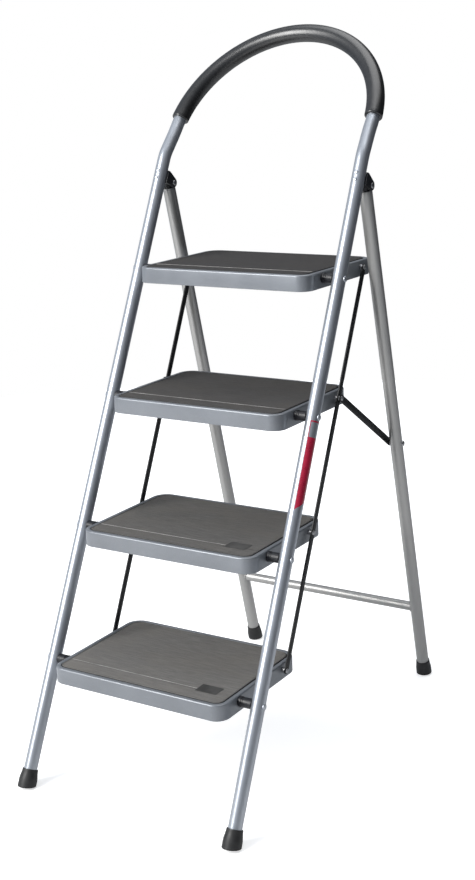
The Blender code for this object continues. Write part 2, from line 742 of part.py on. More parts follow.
def rounded_rectangle(inset, height, centre):
    """Tread outline moved in by an inset, at a height above the pivot."""
    front = centre.y - TREAD_FRONT + inset
    rear = centre.y + TREAD_REAR - inset
    half = TREAD_WIDTH / 2 - inset
    front_radius = TREAD_FRONT_CORNER - inset
    rear_radius = TREAD_REAR_CORNER - inset
    corners = [
        (half - front_radius, front + front_radius, front_radius, -90),
        (half - rear_radius, rear - rear_radius, rear_radius, 0),
        (-half + rear_radius, rear - rear_radius, rear_radius, 90),
        (-half + front_radius, front + front_radius, front_radius, 180),
    ]
    points = []
    for x, y, radius, first in corners:
        for step in range(CORNER_STEPS + 1):
            a = math.radians(first + 90 * step / CORNER_STEPS)
            across = radius * math.cos(a)
            points.append(Vector((x + across, y + radius * math.sin(a), centre.z + height)))
    return points


def pressed_tray(mesh, centre, profile):
    """A closed body whose wall follows a profile of (inset, height), capped at both ends."""
    rings = [ring(mesh, rounded_rectangle(inset, height, centre)) for inset, height in profile]
    for first, second in zip(rings, rings[1:]):
        bridge(mesh, first, second)
    mesh.faces.new(rings[0])
    mesh.faces.new(rings[-1])


def tread_profile():
    """From the mat's recess over the rim, down the flange, round the lip and back up inside."""
    sheet = TREAD_SHEET
    roll = TREAD_EDGE_ROLL
    top = TREAD_RISE
    bottom = TREAD_RISE - TREAD_HEIGHT
    slope = MAT_RECESS / 2
    return [
        (TREAD_RIM + slope, top - MAT_RECESS),
        (TREAD_RIM, top),
        (roll, top),
        (roll * ROLL_SHARE, top - roll * ROLL_SHARE),
        (0.0, top - roll),
        (0.0, bottom),
        (TREAD_LIP, bottom),
        (TREAD_LIP, bottom + sheet),
        (sheet, bottom + sheet),
        (sheet, top - roll - sheet * ROLL_SHARE),
        (roll + sheet * ROLL_SHARE, top - sheet),
        (TREAD_RIM - sheet, top - sheet),
        (TREAD_RIM + slope - sheet, top - MAT_RECESS - sheet),
    ]


def make_tread(index, fold):
    mesh = bmesh.new()
    centre = tread_pivot(index)
    pressed_tray(mesh, centre, tread_profile())
    tread = add_object(f"tread_{index + 1}", mesh, tread_paint, fold)
    holes = bmesh.new()
    for side in SIDES.values():
        for pivot, radius in ((centre, PIN_RADIUS), (link_pivot(index), LINK_RIVET_RADIUS)):
            near = pivot + Vector((side * (TREAD_WIDTH / 2 - TREAD_LIP), 0, 0))
            far = pivot + Vector((side * (TREAD_WIDTH / 2 + TREAD_LIP), 0, 0))
            rod(holes, near, far, radius + BORE_CLEARANCE)
    cut(tread, holes)


def make_mat(index, fold):
    edge = TREAD_RIM + MAT_RECESS / 2 + GAP
    floor = TREAD_RISE - MAT_RECESS + GAP
    top = floor + MAT_THICKNESS
    profile = [(edge, floor), (edge, top - MAT_EDGE), (edge + MAT_EDGE, top)]
    mesh = bmesh.new()
    pressed_tray(mesh, tread_pivot(index), profile)
    add_object(f"tread_mat_{index + 1}", mesh, mat_rubber, fold)


def make_link_rivets(index, fold):
    """Stepped rivets: head inside the flange, collar to the link bar, head outside the bar."""
    for label, side in SIDES.items():
        inside = TREAD_WIDTH / 2 - TREAD_SHEET - GAP
        collar_start = TREAD_WIDTH / 2 + GAP
        collar_end = LINK_BAR_INNER - GAP
        outside = LINK_BAR_OUTER + GAP
        inner_head = head(inside, LINK_RIVET_HEAD_HEIGHT, LINK_RIVET_HEAD_RADIUS, -1.0)[::-1]
        shank = [(inside, LINK_RIVET_RADIUS), (collar_start, LINK_RIVET_RADIUS)]
        collar = [(collar_start, LINK_COLLAR_RADIUS), (collar_end, LINK_COLLAR_RADIUS)]
        shaft = [(collar_end, LINK_RIVET_RADIUS), (outside, LINK_RIVET_RADIUS)]
        outer_head = head(outside, LINK_RIVET_HEAD_HEIGHT, LINK_RIVET_HEAD_RADIUS, 1.0)
        mesh = bmesh.new()
        profile = inner_head + shank + collar + shaft + outer_head
        solid_turning(mesh, link_pivot(index), Vector((side, 0, 0)), profile)
        add_object(f"link_rivet_{index + 1}_{label}", mesh, rivet_steel, fold)


# Flat bars


def bar_outline(x, start, end, width):
    """A flat bar between two pivots, with round ends."""
    along = (end - start).normalized()
    across = Vector((1, 0, 0)).cross(along)
    radius = width / 2
    steps = 2 * CORNER_STEPS
    points = []
    for centre, first in ((end, 90), (start, 270)):
        for step in range(steps + 1):
            a = math.radians(first - 180 * step / steps)
            point = centre + (along * math.cos(a) + across * math.sin(a)) * radius
            points.append(point + Vector((x, 0, 0)))
    return points


def make_bar(name, side, inner, thickness, ends, width, holes_at, hole_radius, parent):
    start_x = side * inner
    mesh = bmesh.new()
    extrusion(mesh, bar_outline(start_x, *ends, width), Vector((side * thickness, 0, 0)))
    bar = add_object(name, mesh, black_paint, parent)
    holes = bmesh.new()
    for pivot in holes_at:
        near = pivot + Vector((start_x - side * thickness, 0, 0))
        far = pivot + Vector((start_x + side * 2 * thickness, 0, 0))
        rod(holes, near, far, hole_radius)
    cut(bar, holes)


def make_link_bar(label, side, fold):
    pivots = [link_pivot(index) for index in range(TREAD_COUNT)]
    bore = LINK_RIVET_RADIUS + BORE_CLEARANCE
    ends = (pivots[0], pivots[-1])
    name = "link_bar_" + label
    size = (LINK_BAR_INNER, LINK_BAR_THICKNESS)
    make_bar(name, side, *size, ends, LINK_BAR_WIDTH, pivots, bore, fold)


def make_brace(label, side, fold):
    """The upper end carries its own rivet, so both ends are drilled."""
    ends = (link_pivot(BRACED_TREAD), BRACE_BOLT)
    bore = BRACE_BOLT_RADIUS + BORE_CLEARANCE
    size = (BRACE_INNER, BRACE_THICKNESS)
    make_bar("brace_" + label, side, *size, ends, BRACE_WIDTH, ends, bore, fold)


def make_brace_rivet(label, side, fold):
    """Flush inside, domed outside, at the brace's upper end."""
    outside = BRACE_OUTER + GAP
    shaft = [(BRACE_INNER, BRACE_BOLT_RADIUS), (outside, BRACE_BOLT_RADIUS)]
    outer_head = head(outside, BRACE_RIVET_HEAD_HEIGHT, LINK_RIVET_HEAD_RADIUS, 1.0)
    mesh = bmesh.new()
    solid_turning(mesh, link_pivot(BRACED_TREAD), Vector((side, 0, 0)), shaft + outer_head)
    add_object("brace_rivet_" + label, mesh, rivet_steel, fold)


# Assembly


def make_front_frame():
    make_front_frame_tube()
    make_handle_grip()
    make_front_feet()
    make_tread_pins()
    make_bushes()
    make_brackets()
    make_bracket_rivets()
    make_leg_pins()


def make_rear_frame():
    fold = joint_empty("rear_frame_axis", LEG_PIVOT)
    make_rear_legs(fold)
    make_cross_tube(fold)
    make_rear_feet(fold)
    make_brace_bolts(fold)
    make_brace_spacers(fold)


def make_treads():
    for index in range(TREAD_COUNT):
        fold = joint_empty(f"tread_{index + 1}_axis", tread_pivot(index))
        make_tread(index, fold)
        make_mat(index, fold)
        make_link_rivets(index, fold)


def make_links_and_braces():
    for label, side in SIDES.items():
        link_fold = joint_empty(f"link_bar_{label}_axis", link_pivot(TREAD_COUNT - 1))
        make_link_bar(label, side, link_fold)
        brace_fold = joint_empty(f"brace_{label}_axis", BRACE_BOLT)
        make_brace(label, side, brace_fold)
        make_brace_rivet(label, side, brace_fold)


clear_scene()
make_front_frame()
make_rear_frame()
make_treads()
make_links_and_braces()
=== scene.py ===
"""Finished look of the folding platform step ladder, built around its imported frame.

Metres, +Z up. The ladder faces -Y, the ground is Z = 0 and X = 0 is the middle.
"""

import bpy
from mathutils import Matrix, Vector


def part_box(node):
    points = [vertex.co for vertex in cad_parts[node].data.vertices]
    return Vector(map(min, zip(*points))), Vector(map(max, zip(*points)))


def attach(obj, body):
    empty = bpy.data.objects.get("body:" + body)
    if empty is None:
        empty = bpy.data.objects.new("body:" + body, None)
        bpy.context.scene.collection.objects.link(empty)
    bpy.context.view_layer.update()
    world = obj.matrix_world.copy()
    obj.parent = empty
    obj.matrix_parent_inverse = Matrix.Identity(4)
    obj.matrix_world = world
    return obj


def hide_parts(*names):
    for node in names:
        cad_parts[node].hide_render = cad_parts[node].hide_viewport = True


bl_info = {
    "name": "Platform Step Ladder",
    "version": (1, 0, 0),
    "blender": (4, 5, 0),
    "location": "3D View > Sidebar > Ladder",
    "description": "Builds the tubes, treads, mats, hardware and finishes of a folding platform step ladder",
    "category": "Object",
}

import math

import bmesh
import bpy
from bpy.props import FloatProperty, FloatVectorProperty, IntProperty, PointerProperty
from bpy.types import Operator, Panel, PropertyGroup
from mathutils import Matrix, Vector

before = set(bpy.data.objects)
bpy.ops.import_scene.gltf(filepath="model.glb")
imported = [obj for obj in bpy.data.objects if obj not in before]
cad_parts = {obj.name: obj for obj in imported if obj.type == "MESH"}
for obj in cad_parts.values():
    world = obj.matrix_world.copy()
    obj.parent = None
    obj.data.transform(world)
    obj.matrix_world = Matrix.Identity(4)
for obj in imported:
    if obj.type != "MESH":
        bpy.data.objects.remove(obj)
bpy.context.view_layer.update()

SIDES = {"left": -1.0, "right": 1.0}
TREADS = (1, 2, 3, 4)
BRACED_TREAD = 3
GAP = 0.0003  # between faces that rest on each other
FRONT_SOLE = 0.0172  # radius of a front foot at its sole
REAR_SOLE = 0.0162
LEG_HALF_SPACING = 0.212  # from the middle to a leg, on the ground
STILE_LINE_AHEAD = 0.030  # from the leg's pivot forwards to the stile's centre line
BRACKET_SEAT = 0.0162  # from the stile's centre line back to the slot's floor
RIGHT = Vector((1.0, 0.0, 0.0))
UP = Vector((0.0, 0.0, 1.0))


# Settings


def length(name, description, metres):
    return FloatProperty(name=name, description=description, default=metres, unit="LENGTH")


def angle(name, description, degrees):
    return FloatProperty(name=name, description=description, default=math.radians(degrees), subtype="ANGLE")


def paint(name, description, colour):
    return FloatVectorProperty(name=name, description=description, default=colour, subtype="COLOR", size=3)


class TubeSettings(PropertyGroup):
    radius: length("Tube radius", "Outside radius of the steel tubes", 0.0125)
    lean: angle("Stile lean", "Lean of the stiles from upright", 25.5)
    foot_half_spacing: length("Half spacing at the feet", "From the middle to a stile on the ground", 0.224)
    bend_half_spacing: length("Half spacing at the bend", "From the middle to a stile at the bend", 0.2175)
    bend_height: length("Bend height", "Height of the bend under the grab loop", 1.121)
    bend_radius: length("Bend radius", "Radius of the bend under the grab loop", 0.100)
    loop_lean: angle("Loop lean", "Lean of the grab loop from upright", 38.7)
    loop_neck: length("Loop neck", "Straight part between bend and arch", 0.066)
    loop_half_width: length("Loop half width", "Half the width of the arch", 0.2142)
    loop_rise: length("Loop rise", "Height of the arch above its foot, along the loop", 0.219)
    grip_radius: length("Grip radius", "Outside radius of the foam grip", 0.0169)
    grip_half_length: length("Grip half length", "Along the tube, from the top of the arch", 0.322)
    grip_rounding: length("Grip end rounding", "Radius of the edge at the grip's ends", 0.0022)
    neck_radius: length("Leg neck radius", "Radius of the leg's drawn-in top", 0.0087)
    shoulder: length("Leg shoulder", "From the leg's pivot down to its full radius", 0.0093)
    cross_radius: length("Cross tube radius", "Outside radius of the rear cross tube", 0.0095)
    weld_radius: length("Weld radius", "Radius of the weld beads on the cross tube", 0.0017)
    sides: IntProperty(name="Tube sides", description="Faces around each tube", default=48, min=12)


class TreadSettings(PropertyGroup):
    rise: length("Rim height", "Height of the rim above the hinge", 0.0115)
    height: length("Flange height", "Height of the tread's flange", 0.030)
    sheet: length("Sheet", "Thickness of the pressed sheet", 0.0012)
    front_corner: length("Front corner", "Radius of the front corners", 0.025)
    rear_corner: length("Rear corner", "Radius of the rear corners", 0.030)
    roll: length("Edge roll", "Radius of the rolled top edge", 0.003)
    lip: length("Lip", "Width of the lip turned in under the flange", 0.006)
    rim: length("Rim", "Width of the flat rim around the mat", 0.0082)
    recess: length("Mat recess", "Depth of the recess that holds the mat", 0.0015)
    mat_thickness: length("Mat thickness", "Thickness of the rubber mat", 0.0020)
    # The mat stands this far in from its recess; a near-black sheet in that gap is painted shade.
    mat_skirt: length("Mat skirt", "Width of the low edge around the mat", 0.0016)
    mat_border: length("Mat border", "Width of the smooth border around the ribs", 0.0026)
    rib_pitch: length("Rib pitch", "Distance between the mat's ribs", 0.0031)
    rib_width: length("Rib width", "Width of one rib", 0.0020)
    rib_height: length("Rib height", "Height of one rib", 0.00055)
    groove_behind_front: length("Front band", "From the mat's front edge to the line across it", 0.038)


class HardwareSettings(PropertyGroup):
    pin_head_radius: length("Tread pin head", "Radius of the tread pins' heads", 0.0056)
    pin_sleeve_radius: length("Tread pin sleeve", "Radius of the sleeves beside the stiles", 0.0092)
    link_head_radius: length("Link rivet head", "Radius of the link rivets' heads", 0.0046)
    leg_head_radius: length("Leg pin head", "Radius of the leg pins' heads", 0.0052)
    bracket_head_radius: length("Bracket rivet head", "Radius of the bracket rivets' heads", 0.0038)
    bolt_head_radius: length("Brace bolt head", "Radius of the brace bolts' heads", 0.0058)
    bar_edge: length("Bar edge", "Rounding of the flat bars' edges", 0.0005)


class FinishSettings(PropertyGroup):
    stile_colour: paint("Stile paint", "Colour of the front frame's paint", (0.43, 0.455, 0.495))
    leg_colour: paint("Leg paint", "Colour of the rear frame's paint", (0.40, 0.395, 0.385))
    tread_colour: paint("Tread paint", "Colour of the treads' paint", (0.205, 0.218, 0.238))
    mat_colour: paint("Mat rubber", "Colour of the mats", (0.135, 0.131, 0.126))
    grip_colour: paint("Grip foam", "Colour of the foam grip", (0.006, 0.006, 0.0065))
    bar_colour: paint("Bar paint", "Colour of the link bars and braces", (0.005, 0.0055, 0.0065))
    band_colour: paint("Colour band", "Colour of the plain band on the right stile", (0.42, 0.012, 0.045))


# Places from the frame


def middle(node):
    low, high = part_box(node)
    return (low + high) / 2


def in_middle(point):
    return Vector((0.0, point.y, point.z))


def span(node):
    """How near to the middle plane a node comes, and how far it reaches out."""
    low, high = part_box(node)
    return sorted((abs(low.x), abs(high.x)))


def tread_pivot(number):
    return in_middle(middle(f"tread_bush_{number}_right"))


def link_pivot(number):
    return in_middle(middle(f"link_rivet_{number}_right"))


LEG_PIVOT = in_middle(middle("leg_pin_right"))
BRACKET_X = middle("leg_pin_right").x
BRACE_BOLT = in_middle(middle("brace_bolt_right"))


def leg_ground():
    """Where the legs' centre lines meet the ground, from the feet, which are turned about them."""
    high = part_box("rear_foot_right")[1]
    overhang = REAR_SOLE / math.cos(math.atan2(high.y - LEG_PIVOT.y, LEG_PIVOT.z))
    return Vector((LEG_HALF_SPACING, high.y - overhang, 0.0))


LEG_GROUND = leg_ground()
LEG_LENGTH = math.hypot(LEG_GROUND.y - LEG_PIVOT.y, LEG_PIVOT.z)
LEG_DOWN = Vector((0.0, LEG_GROUND.y - LEG_PIVOT.y, -LEG_PIVOT.z)) / LEG_LENGTH
LEG_BACK = Vector((0.0, -LEG_DOWN.z, LEG_DOWN.y))


def leg_point(side, distance):
    """A point on the leg's centre line, this far below its pivot."""
    x = BRACKET_X + (LEG_GROUND.x - BRACKET_X) * distance / LEG_LENGTH
    return RIGHT * side * x + LEG_PIVOT + LEG_DOWN * distance


def front_ground_y():
    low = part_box("front_foot_right")[0]
    return low.y + FRONT_SOLE / math.cos(bpy.context.scene.ladder_tubes.lean)


def stile_up():
    lean = bpy.context.scene.ladder_tubes.lean
    return Vector((0.0, math.sin(lean), math.cos(lean)))


def stile_back():
    lean = bpy.context.scene.ladder_tubes.lean
    return Vector((0.0, math.cos(lean), -math.sin(lean)))


def stile_x(height):
    tubes = bpy.context.scene.ladder_tubes
    share = height / tubes.bend_height
    return tubes.foot_half_spacing + (tubes.bend_half_spacing - tubes.foot_half_spacing) * share


def stile_point(side, height):
    lean = bpy.context.scene.ladder_tubes.lean
    return Vector((side * stile_x(height), front_ground_y() + height * math.tan(lean), height))


# Mesh building blocks


def ring(mesh, points):
    return [mesh.verts.new(point) for point in points]


def bridge(mesh, first, second):
    for i in range(len(first)):
        j = (i + 1) % len(first)
        mesh.faces.new((first[i], first[j], second[j], second[i]))


def circle(centre, along, radius, sides):
    reference = UP if abs(along.z) < 0.9 else RIGHT
    across = (reference - along * reference.dot(along)).normalized()
    up = along.cross(across)
    turns = [2 * math.pi * i / sides for i in range(sides)]
    return [centre + (across * math.cos(a) + up * math.sin(a)) * radius for a in turns]


def turned_rings(mesh, centre, along, profile, sides):
    along = along.normalized()
    return [ring(mesh, circle(centre + along * distance, along, radius, sides)) for distance, radius in profile]


def turned_body(mesh, centre, along, profile, sides=40):
    """Turns a profile of (distance, radius) about a line and closes both ends."""
    rings = turned_rings(mesh, centre, along, profile, sides)
    for first, second in zip(rings, rings[1:]):
        bridge(mesh, first, second)
    mesh.faces.new(rings[0])
    mesh.faces.new(rings[-1])


def turned_ring(mesh, centre, along, profile, sides=40):
    """Turns a closed profile, as of a bush or a spacer."""
    rings = turned_rings(mesh, centre, along, profile, sides)
    for first, second in zip(rings, rings[1:] + rings[:1]):
        bridge(mesh, first, second)


def pushed_outline(mesh, outline, offset):
    first = ring(mesh, outline)
    second = ring(mesh, [point + offset for point in outline])
    bridge(mesh, first, second)
    mesh.faces.new(first)
    mesh.faces.new(second)


CREASE = math.radians(32)  # edges sharper than this stay sharp


def finished_data(mesh, name, material, crease=CREASE):
    bmesh.ops.recalc_face_normals(mesh, faces=mesh.faces)
    return unchecked_data(mesh, name, material, crease)


def unchecked_data(mesh, name, material, crease):
    """Mesh data whose faces already point the right way."""
    data = bpy.data.meshes.new(name)
    mesh.to_mesh(data)
    mesh.free()
    data.materials.append(material)
    data.shade_smooth()
    data.set_sharp_from_angle(angle=crease)
    return data


def linked(name, data):
    obj = bpy.data.objects.new(name, data)
    bpy.context.scene.collection.objects.link(obj)
    return obj


def piece(mesh, name, material, body, nodes):
    """A finished piece: rides on its body and stands for its CAD nodes."""
    return settle(linked(name, finished_data(mesh, name, material)), body, nodes)


def settle(obj, body, nodes):
    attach(obj, body)
    if nodes:
        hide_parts(*nodes)
    return obj


def plain_mesh(obj, name, material, crease=CREASE):
    """Turns what the modifiers give into a mesh of its own and takes the modifiers away."""
    bpy.context.view_layer.update()
    graph = bpy.context.evaluated_depsgraph_get()
    data = bpy.data.meshes.new_from_object(obj.evaluated_get(graph))
    if not data.polygons:
        raise RuntimeError(f"{name} came out empty")
    obj.modifiers.clear()
    obj.data = data
    data.name = name
    data.materials.clear()
    data.materials.append(material)
    data.shade_smooth()
    data.set_sharp_from_angle(angle=crease)
    return obj


def merged(name, objects, material, crease=CREASE):
    """Joins several pieces of hardware on one body into one mesh."""
    mesh = bmesh.new()
    for obj in objects:
        mesh.from_mesh(obj.data)
        bpy.data.objects.remove(obj)
    return linked(name, unchecked_data(mesh, name, material, crease))


# Geometry node trees


class TreeMaker:
    """Short calls for building a geometry node tree."""

    def __init__(self, name):
        self.tree = bpy.data.node_groups.new(name, "GeometryNodeTree")
        self.tree.interface.new_socket(name="Geometry", in_out="INPUT", socket_type="NodeSocketGeometry")
        self.tree.interface.new_socket(name="Geometry", in_out="OUTPUT", socket_type="NodeSocketGeometry")
        self.inputs = self.tree.nodes.new("NodeGroupInput")
        self.outputs = self.tree.nodes.new("NodeGroupOutput")

    def size(self, name, kind, default=None):
        made = self.tree.interface.new_socket(name=name, in_out="INPUT", socket_type=kind)
        if default is not None:
            made.default_value = default
        return self.inputs.outputs[name]

    def node(self, kind, links=None, **settings):
        made = self.tree.nodes.new(kind)
        for key, value in settings.items():
            setattr(made, key, value)
        for key, value in (links or {}).items():
            socket = made.inputs[key]
            if isinstance(value, bpy.types.NodeSocket):
                self.tree.links.new(value, socket)
            else:
                socket.default_value = value
        return made

    def math(self, operation, first, second=0.0):
        return self.node("ShaderNodeMath", {0: first, 1: second}, operation=operation).outputs[0]

    def attribute(self, name, data_type="FLOAT"):
        made = self.node("GeometryNodeInputNamedAttribute", {"Name": name}, data_type=data_type)
        return made.outputs["Attribute"]

    def end(self, geometry, material):
        smooth = self.node("GeometryNodeSetShadeSmooth", {"Geometry": geometry}).outputs[0]
        real = self.node("GeometryNodeRealizeInstances", {"Geometry": smooth}).outputs[0]
        last = self.node("GeometryNodeSetMaterial", {"Geometry": real, "Material": material}).outputs[0]
        self.tree.links.new(last, self.outputs.inputs["Geometry"])
        return self.tree


def tube_tree():
    """A round tube along a line of points, as wide at each point as its tube_radius says."""
    maker = TreeMaker("Tube along path")
    sides = maker.size("Sides", "NodeSocketInt", 48)
    material = maker.size("Material", "NodeSocketMaterial")
    line = maker.node("GeometryNodeMeshToCurve", {"Mesh": maker.inputs.outputs["Geometry"]}).outputs[0]
    profile = maker.node("GeometryNodeCurvePrimitiveCircle", {"Resolution": sides, "Radius": 1.0}).outputs[0]
    radius = maker.attribute("tube_radius")
    tube = maker.node(
        "GeometryNodeCurveToMesh", {"Curve": line, "Profile Curve": profile, "Scale": radius, "Fill Caps": True}
    )
    return maker.end(tube.outputs[0], material)


def head_tree():
    """A domed head on each point, standing along the point's outward direction, with a skirt below its seat."""
    maker = TreeMaker("Domed heads")
    radius = maker.size("Radius", "NodeSocketFloat", 0.005)
    height = maker.size("Height", "NodeSocketFloat", 0.002)
    skirt = maker.size("Skirt", "NodeSocketFloat", 0.0014)
    fullness = maker.size("Fullness", "NodeSocketFloat", 0.55)
    sides = maker.size("Sides", "NodeSocketInt", 28)
    rings = maker.size("Rings", "NodeSocketInt", 8)
    material = maker.size("Material", "NodeSocketMaterial")
    around = maker.math("ADD", sides, 1.0)
    grid = maker.node(
        "GeometryNodeMeshGrid", {"Size X": 1.0, "Size Y": 1.0, "Vertices X": around, "Vertices Y": rings}
    ).outputs["Mesh"]
    place = maker.node("ShaderNodeSeparateXYZ", {0: maker.node("GeometryNodeInputPosition").outputs[0]})
    turn = maker.math("MULTIPLY", maker.math("ADD", place.outputs[0], 0.5), 2 * math.pi)
    share = maker.math("ADD", place.outputs[1], 0.5)
    lowest = maker.math("LESS_THAN", share, 0.05)
    step = maker.math("DIVIDE", 1.0, maker.math("SUBTRACT", rings, 1.0))
    rise = maker.math("DIVIDE", maker.math("SUBTRACT", share, step), maker.math("SUBTRACT", 1.0, step))
    rise = maker.math("MULTIPLY", maker.math("MAXIMUM", rise, 0.0), math.pi / 2)
    narrow = maker.math("POWER", maker.math("MAXIMUM", maker.math("COSINE", rise), 0.0), fullness)
    across = maker.math("MULTIPLY", radius, narrow)
    level = maker.math("MULTIPLY", height, maker.math("SINE", rise))
    level = maker.math("SUBTRACT", level, maker.math("MULTIPLY", lowest, skirt))
    x = maker.math("MULTIPLY", across, maker.math("COSINE", turn))
    y = maker.math("MULTIPLY", across, maker.math("SINE", turn))
    spot = maker.node("ShaderNodeCombineXYZ", {0: x, 1: y, 2: level}).outputs[0]
    dome = maker.node("GeometryNodeSetPosition", {"Geometry": grid, "Position": spot}).outputs[0]
    closed = maker.node("GeometryNodeMergeByDistance", {"Geometry": dome, "Distance": 0.00001}).outputs[0]
    outward = maker.attribute("outward", "FLOAT_VECTOR")
    turned = maker.node("FunctionNodeAlignRotationToVector", {"Vector": outward}, axis="Z").outputs[0]
    heads = maker.node(
        "GeometryNodeInstanceOnPoints",
        {"Points": maker.inputs.outputs["Geometry"], "Instance": closed, "Rotation": turned},
    ).outputs[0]
    return maker.end(heads, material)


def rib_tree():
    """A low rounded rib across each point, as long as the point's rib_length says."""
    maker = TreeMaker("Mat ribs")
    width = maker.size("Rib Width", "NodeSocketFloat", 0.002)
    height = maker.size("Rib Height", "NodeSocketFloat", 0.0005)
    material = maker.size("Material", "NodeSocketMaterial")
    grid = maker.node(
        "GeometryNodeMeshGrid", {"Size X": 1.0, "Size Y": 1.0, "Vertices X": 2, "Vertices Y": 6}
    ).outputs["Mesh"]
    place = maker.node("ShaderNodeSeparateXYZ", {0: maker.node("GeometryNodeInputPosition").outputs[0]})
    share = maker.math("ADD", place.outputs[1], 0.5)
    y = maker.math("MULTIPLY", place.outputs[1], width)
    arc = maker.math("SINE", maker.math("MULTIPLY", share, math.pi))
    z = maker.math("MULTIPLY", height, arc)
    spot = maker.node("ShaderNodeCombineXYZ", {0: place.outputs[0], 1: y, 2: z}).outputs[0]
    rib = maker.node("GeometryNodeSetPosition", {"Geometry": grid, "Position": spot}).outputs[0]
    length = maker.attribute("rib_length")
    scale = maker.node("ShaderNodeCombineXYZ", {0: length, 1: 1.0, 2: 1.0}).outputs[0]
    ribs = maker.node(
        "GeometryNodeInstanceOnPoints",
        {"Points": maker.inputs.outputs["Geometry"], "Instance": rib, "Scale": scale},
    ).outputs[0]
    return maker.end(ribs, material)


def weld_tree():
    """A weld bead along a closed line, with the ripples that the torch leaves."""
    maker = TreeMaker("Weld bead")
    radius = maker.size("Radius", "NodeSocketFloat", 0.0017)
    ripple = maker.size("Ripple", "NodeSocketFloat", 0.16)
    ripples = maker.size("Ripples", "NodeSocketFloat", 26.0)
    seed = maker.size("Seed", "NodeSocketFloat", 3.0)
    material = maker.size("Material", "NodeSocketMaterial")
    line = maker.node("GeometryNodeMeshToCurve", {"Mesh": maker.inputs.outputs["Geometry"]}).outputs[0]
    share = maker.node("GeometryNodeSplineParameter").outputs["Factor"]
    wave = maker.math("SINE", maker.math("MULTIPLY", maker.math("MULTIPLY", share, ripples), 2 * math.pi))
    spot = maker.node("GeometryNodeInputPosition").outputs[0]
    rough = maker.node("ShaderNodeTexNoise", {"Vector": spot, "W": seed, "Scale": 260.0}, noise_dimensions="4D")
    swell = maker.math("ADD", wave, maker.math("SUBTRACT", rough.outputs[0], 0.5))
    factor = maker.math("ADD", 1.0, maker.math("MULTIPLY", swell, ripple))
    scale = maker.math("MULTIPLY", radius, factor)
    profile = maker.node("GeometryNodeCurvePrimitiveCircle", {"Resolution": 12, "Radius": 1.0}).outputs[0]
    bead = maker.node("GeometryNodeCurveToMesh", {"Curve": line, "Profile Curve": profile, "Scale": scale})
    return maker.end(bead.outputs[0], material)


def with_tree(obj, tree, **values):
    """Puts a tree on an object and sets its inputs by their identifiers."""
    modifier = obj.modifiers.new(tree.name, "NODES")
    modifier.node_group = tree
    for item in tree.interface.items_tree:
        key = item.name.lower().replace(" ", "_")
        if item.item_type == "SOCKET" and item.in_out == "INPUT" and key in values:
            modifier[item.identifier] = values[key]
    return obj


def path_object(name, points, radii=None, closed=False):
    edges = [(i, i + 1) for i in range(len(points) - 1)]
    if closed:
        edges.append((len(points) - 1, 0))
    data = bpy.data.meshes.new(name)
    data.from_pydata([tuple(point) for point in points], edges, [])
    if radii is not None:
        data.attributes.new("tube_radius", "FLOAT", "POINT").data.foreach_set("value", radii)
    return linked(name, data)


def tube_piece(name, points, radii, material, sides):
    obj = path_object(name, points, radii)
    with_tree(obj, tree_of("Tube along path"), sides=sides, material=material)
    return plain_mesh(obj, name, material)


def heads_piece(name, places, radius, height, material, skirt=0.0014, fullness=0.55):
    """Domed heads at places given as (point, outward)."""
    data = bpy.data.meshes.new(name)
    data.from_pydata([tuple(point) for point, _ in places], [], [])
    outward = [part for _, direction in places for part in direction]
    data.attributes.new("outward", "FLOAT_VECTOR", "POINT").data.foreach_set("vector", outward)
    obj = linked(name, data)
    with_tree(
        obj,
        tree_of("Domed heads"),
        radius=radius,
        height=height,
        skirt=skirt,
        fullness=fullness,
        sides=28,
        rings=8,
        material=material,
    )
    return plain_mesh(obj, name, material)


TREES = {
    "Tube along path": tube_tree,
    "Domed heads": head_tree,
    "Mat ribs": rib_tree,
    "Weld bead": weld_tree,
}


def tree_of(name):
    return bpy.data.node_groups.get(name) or TREES[name]()


# Finishes


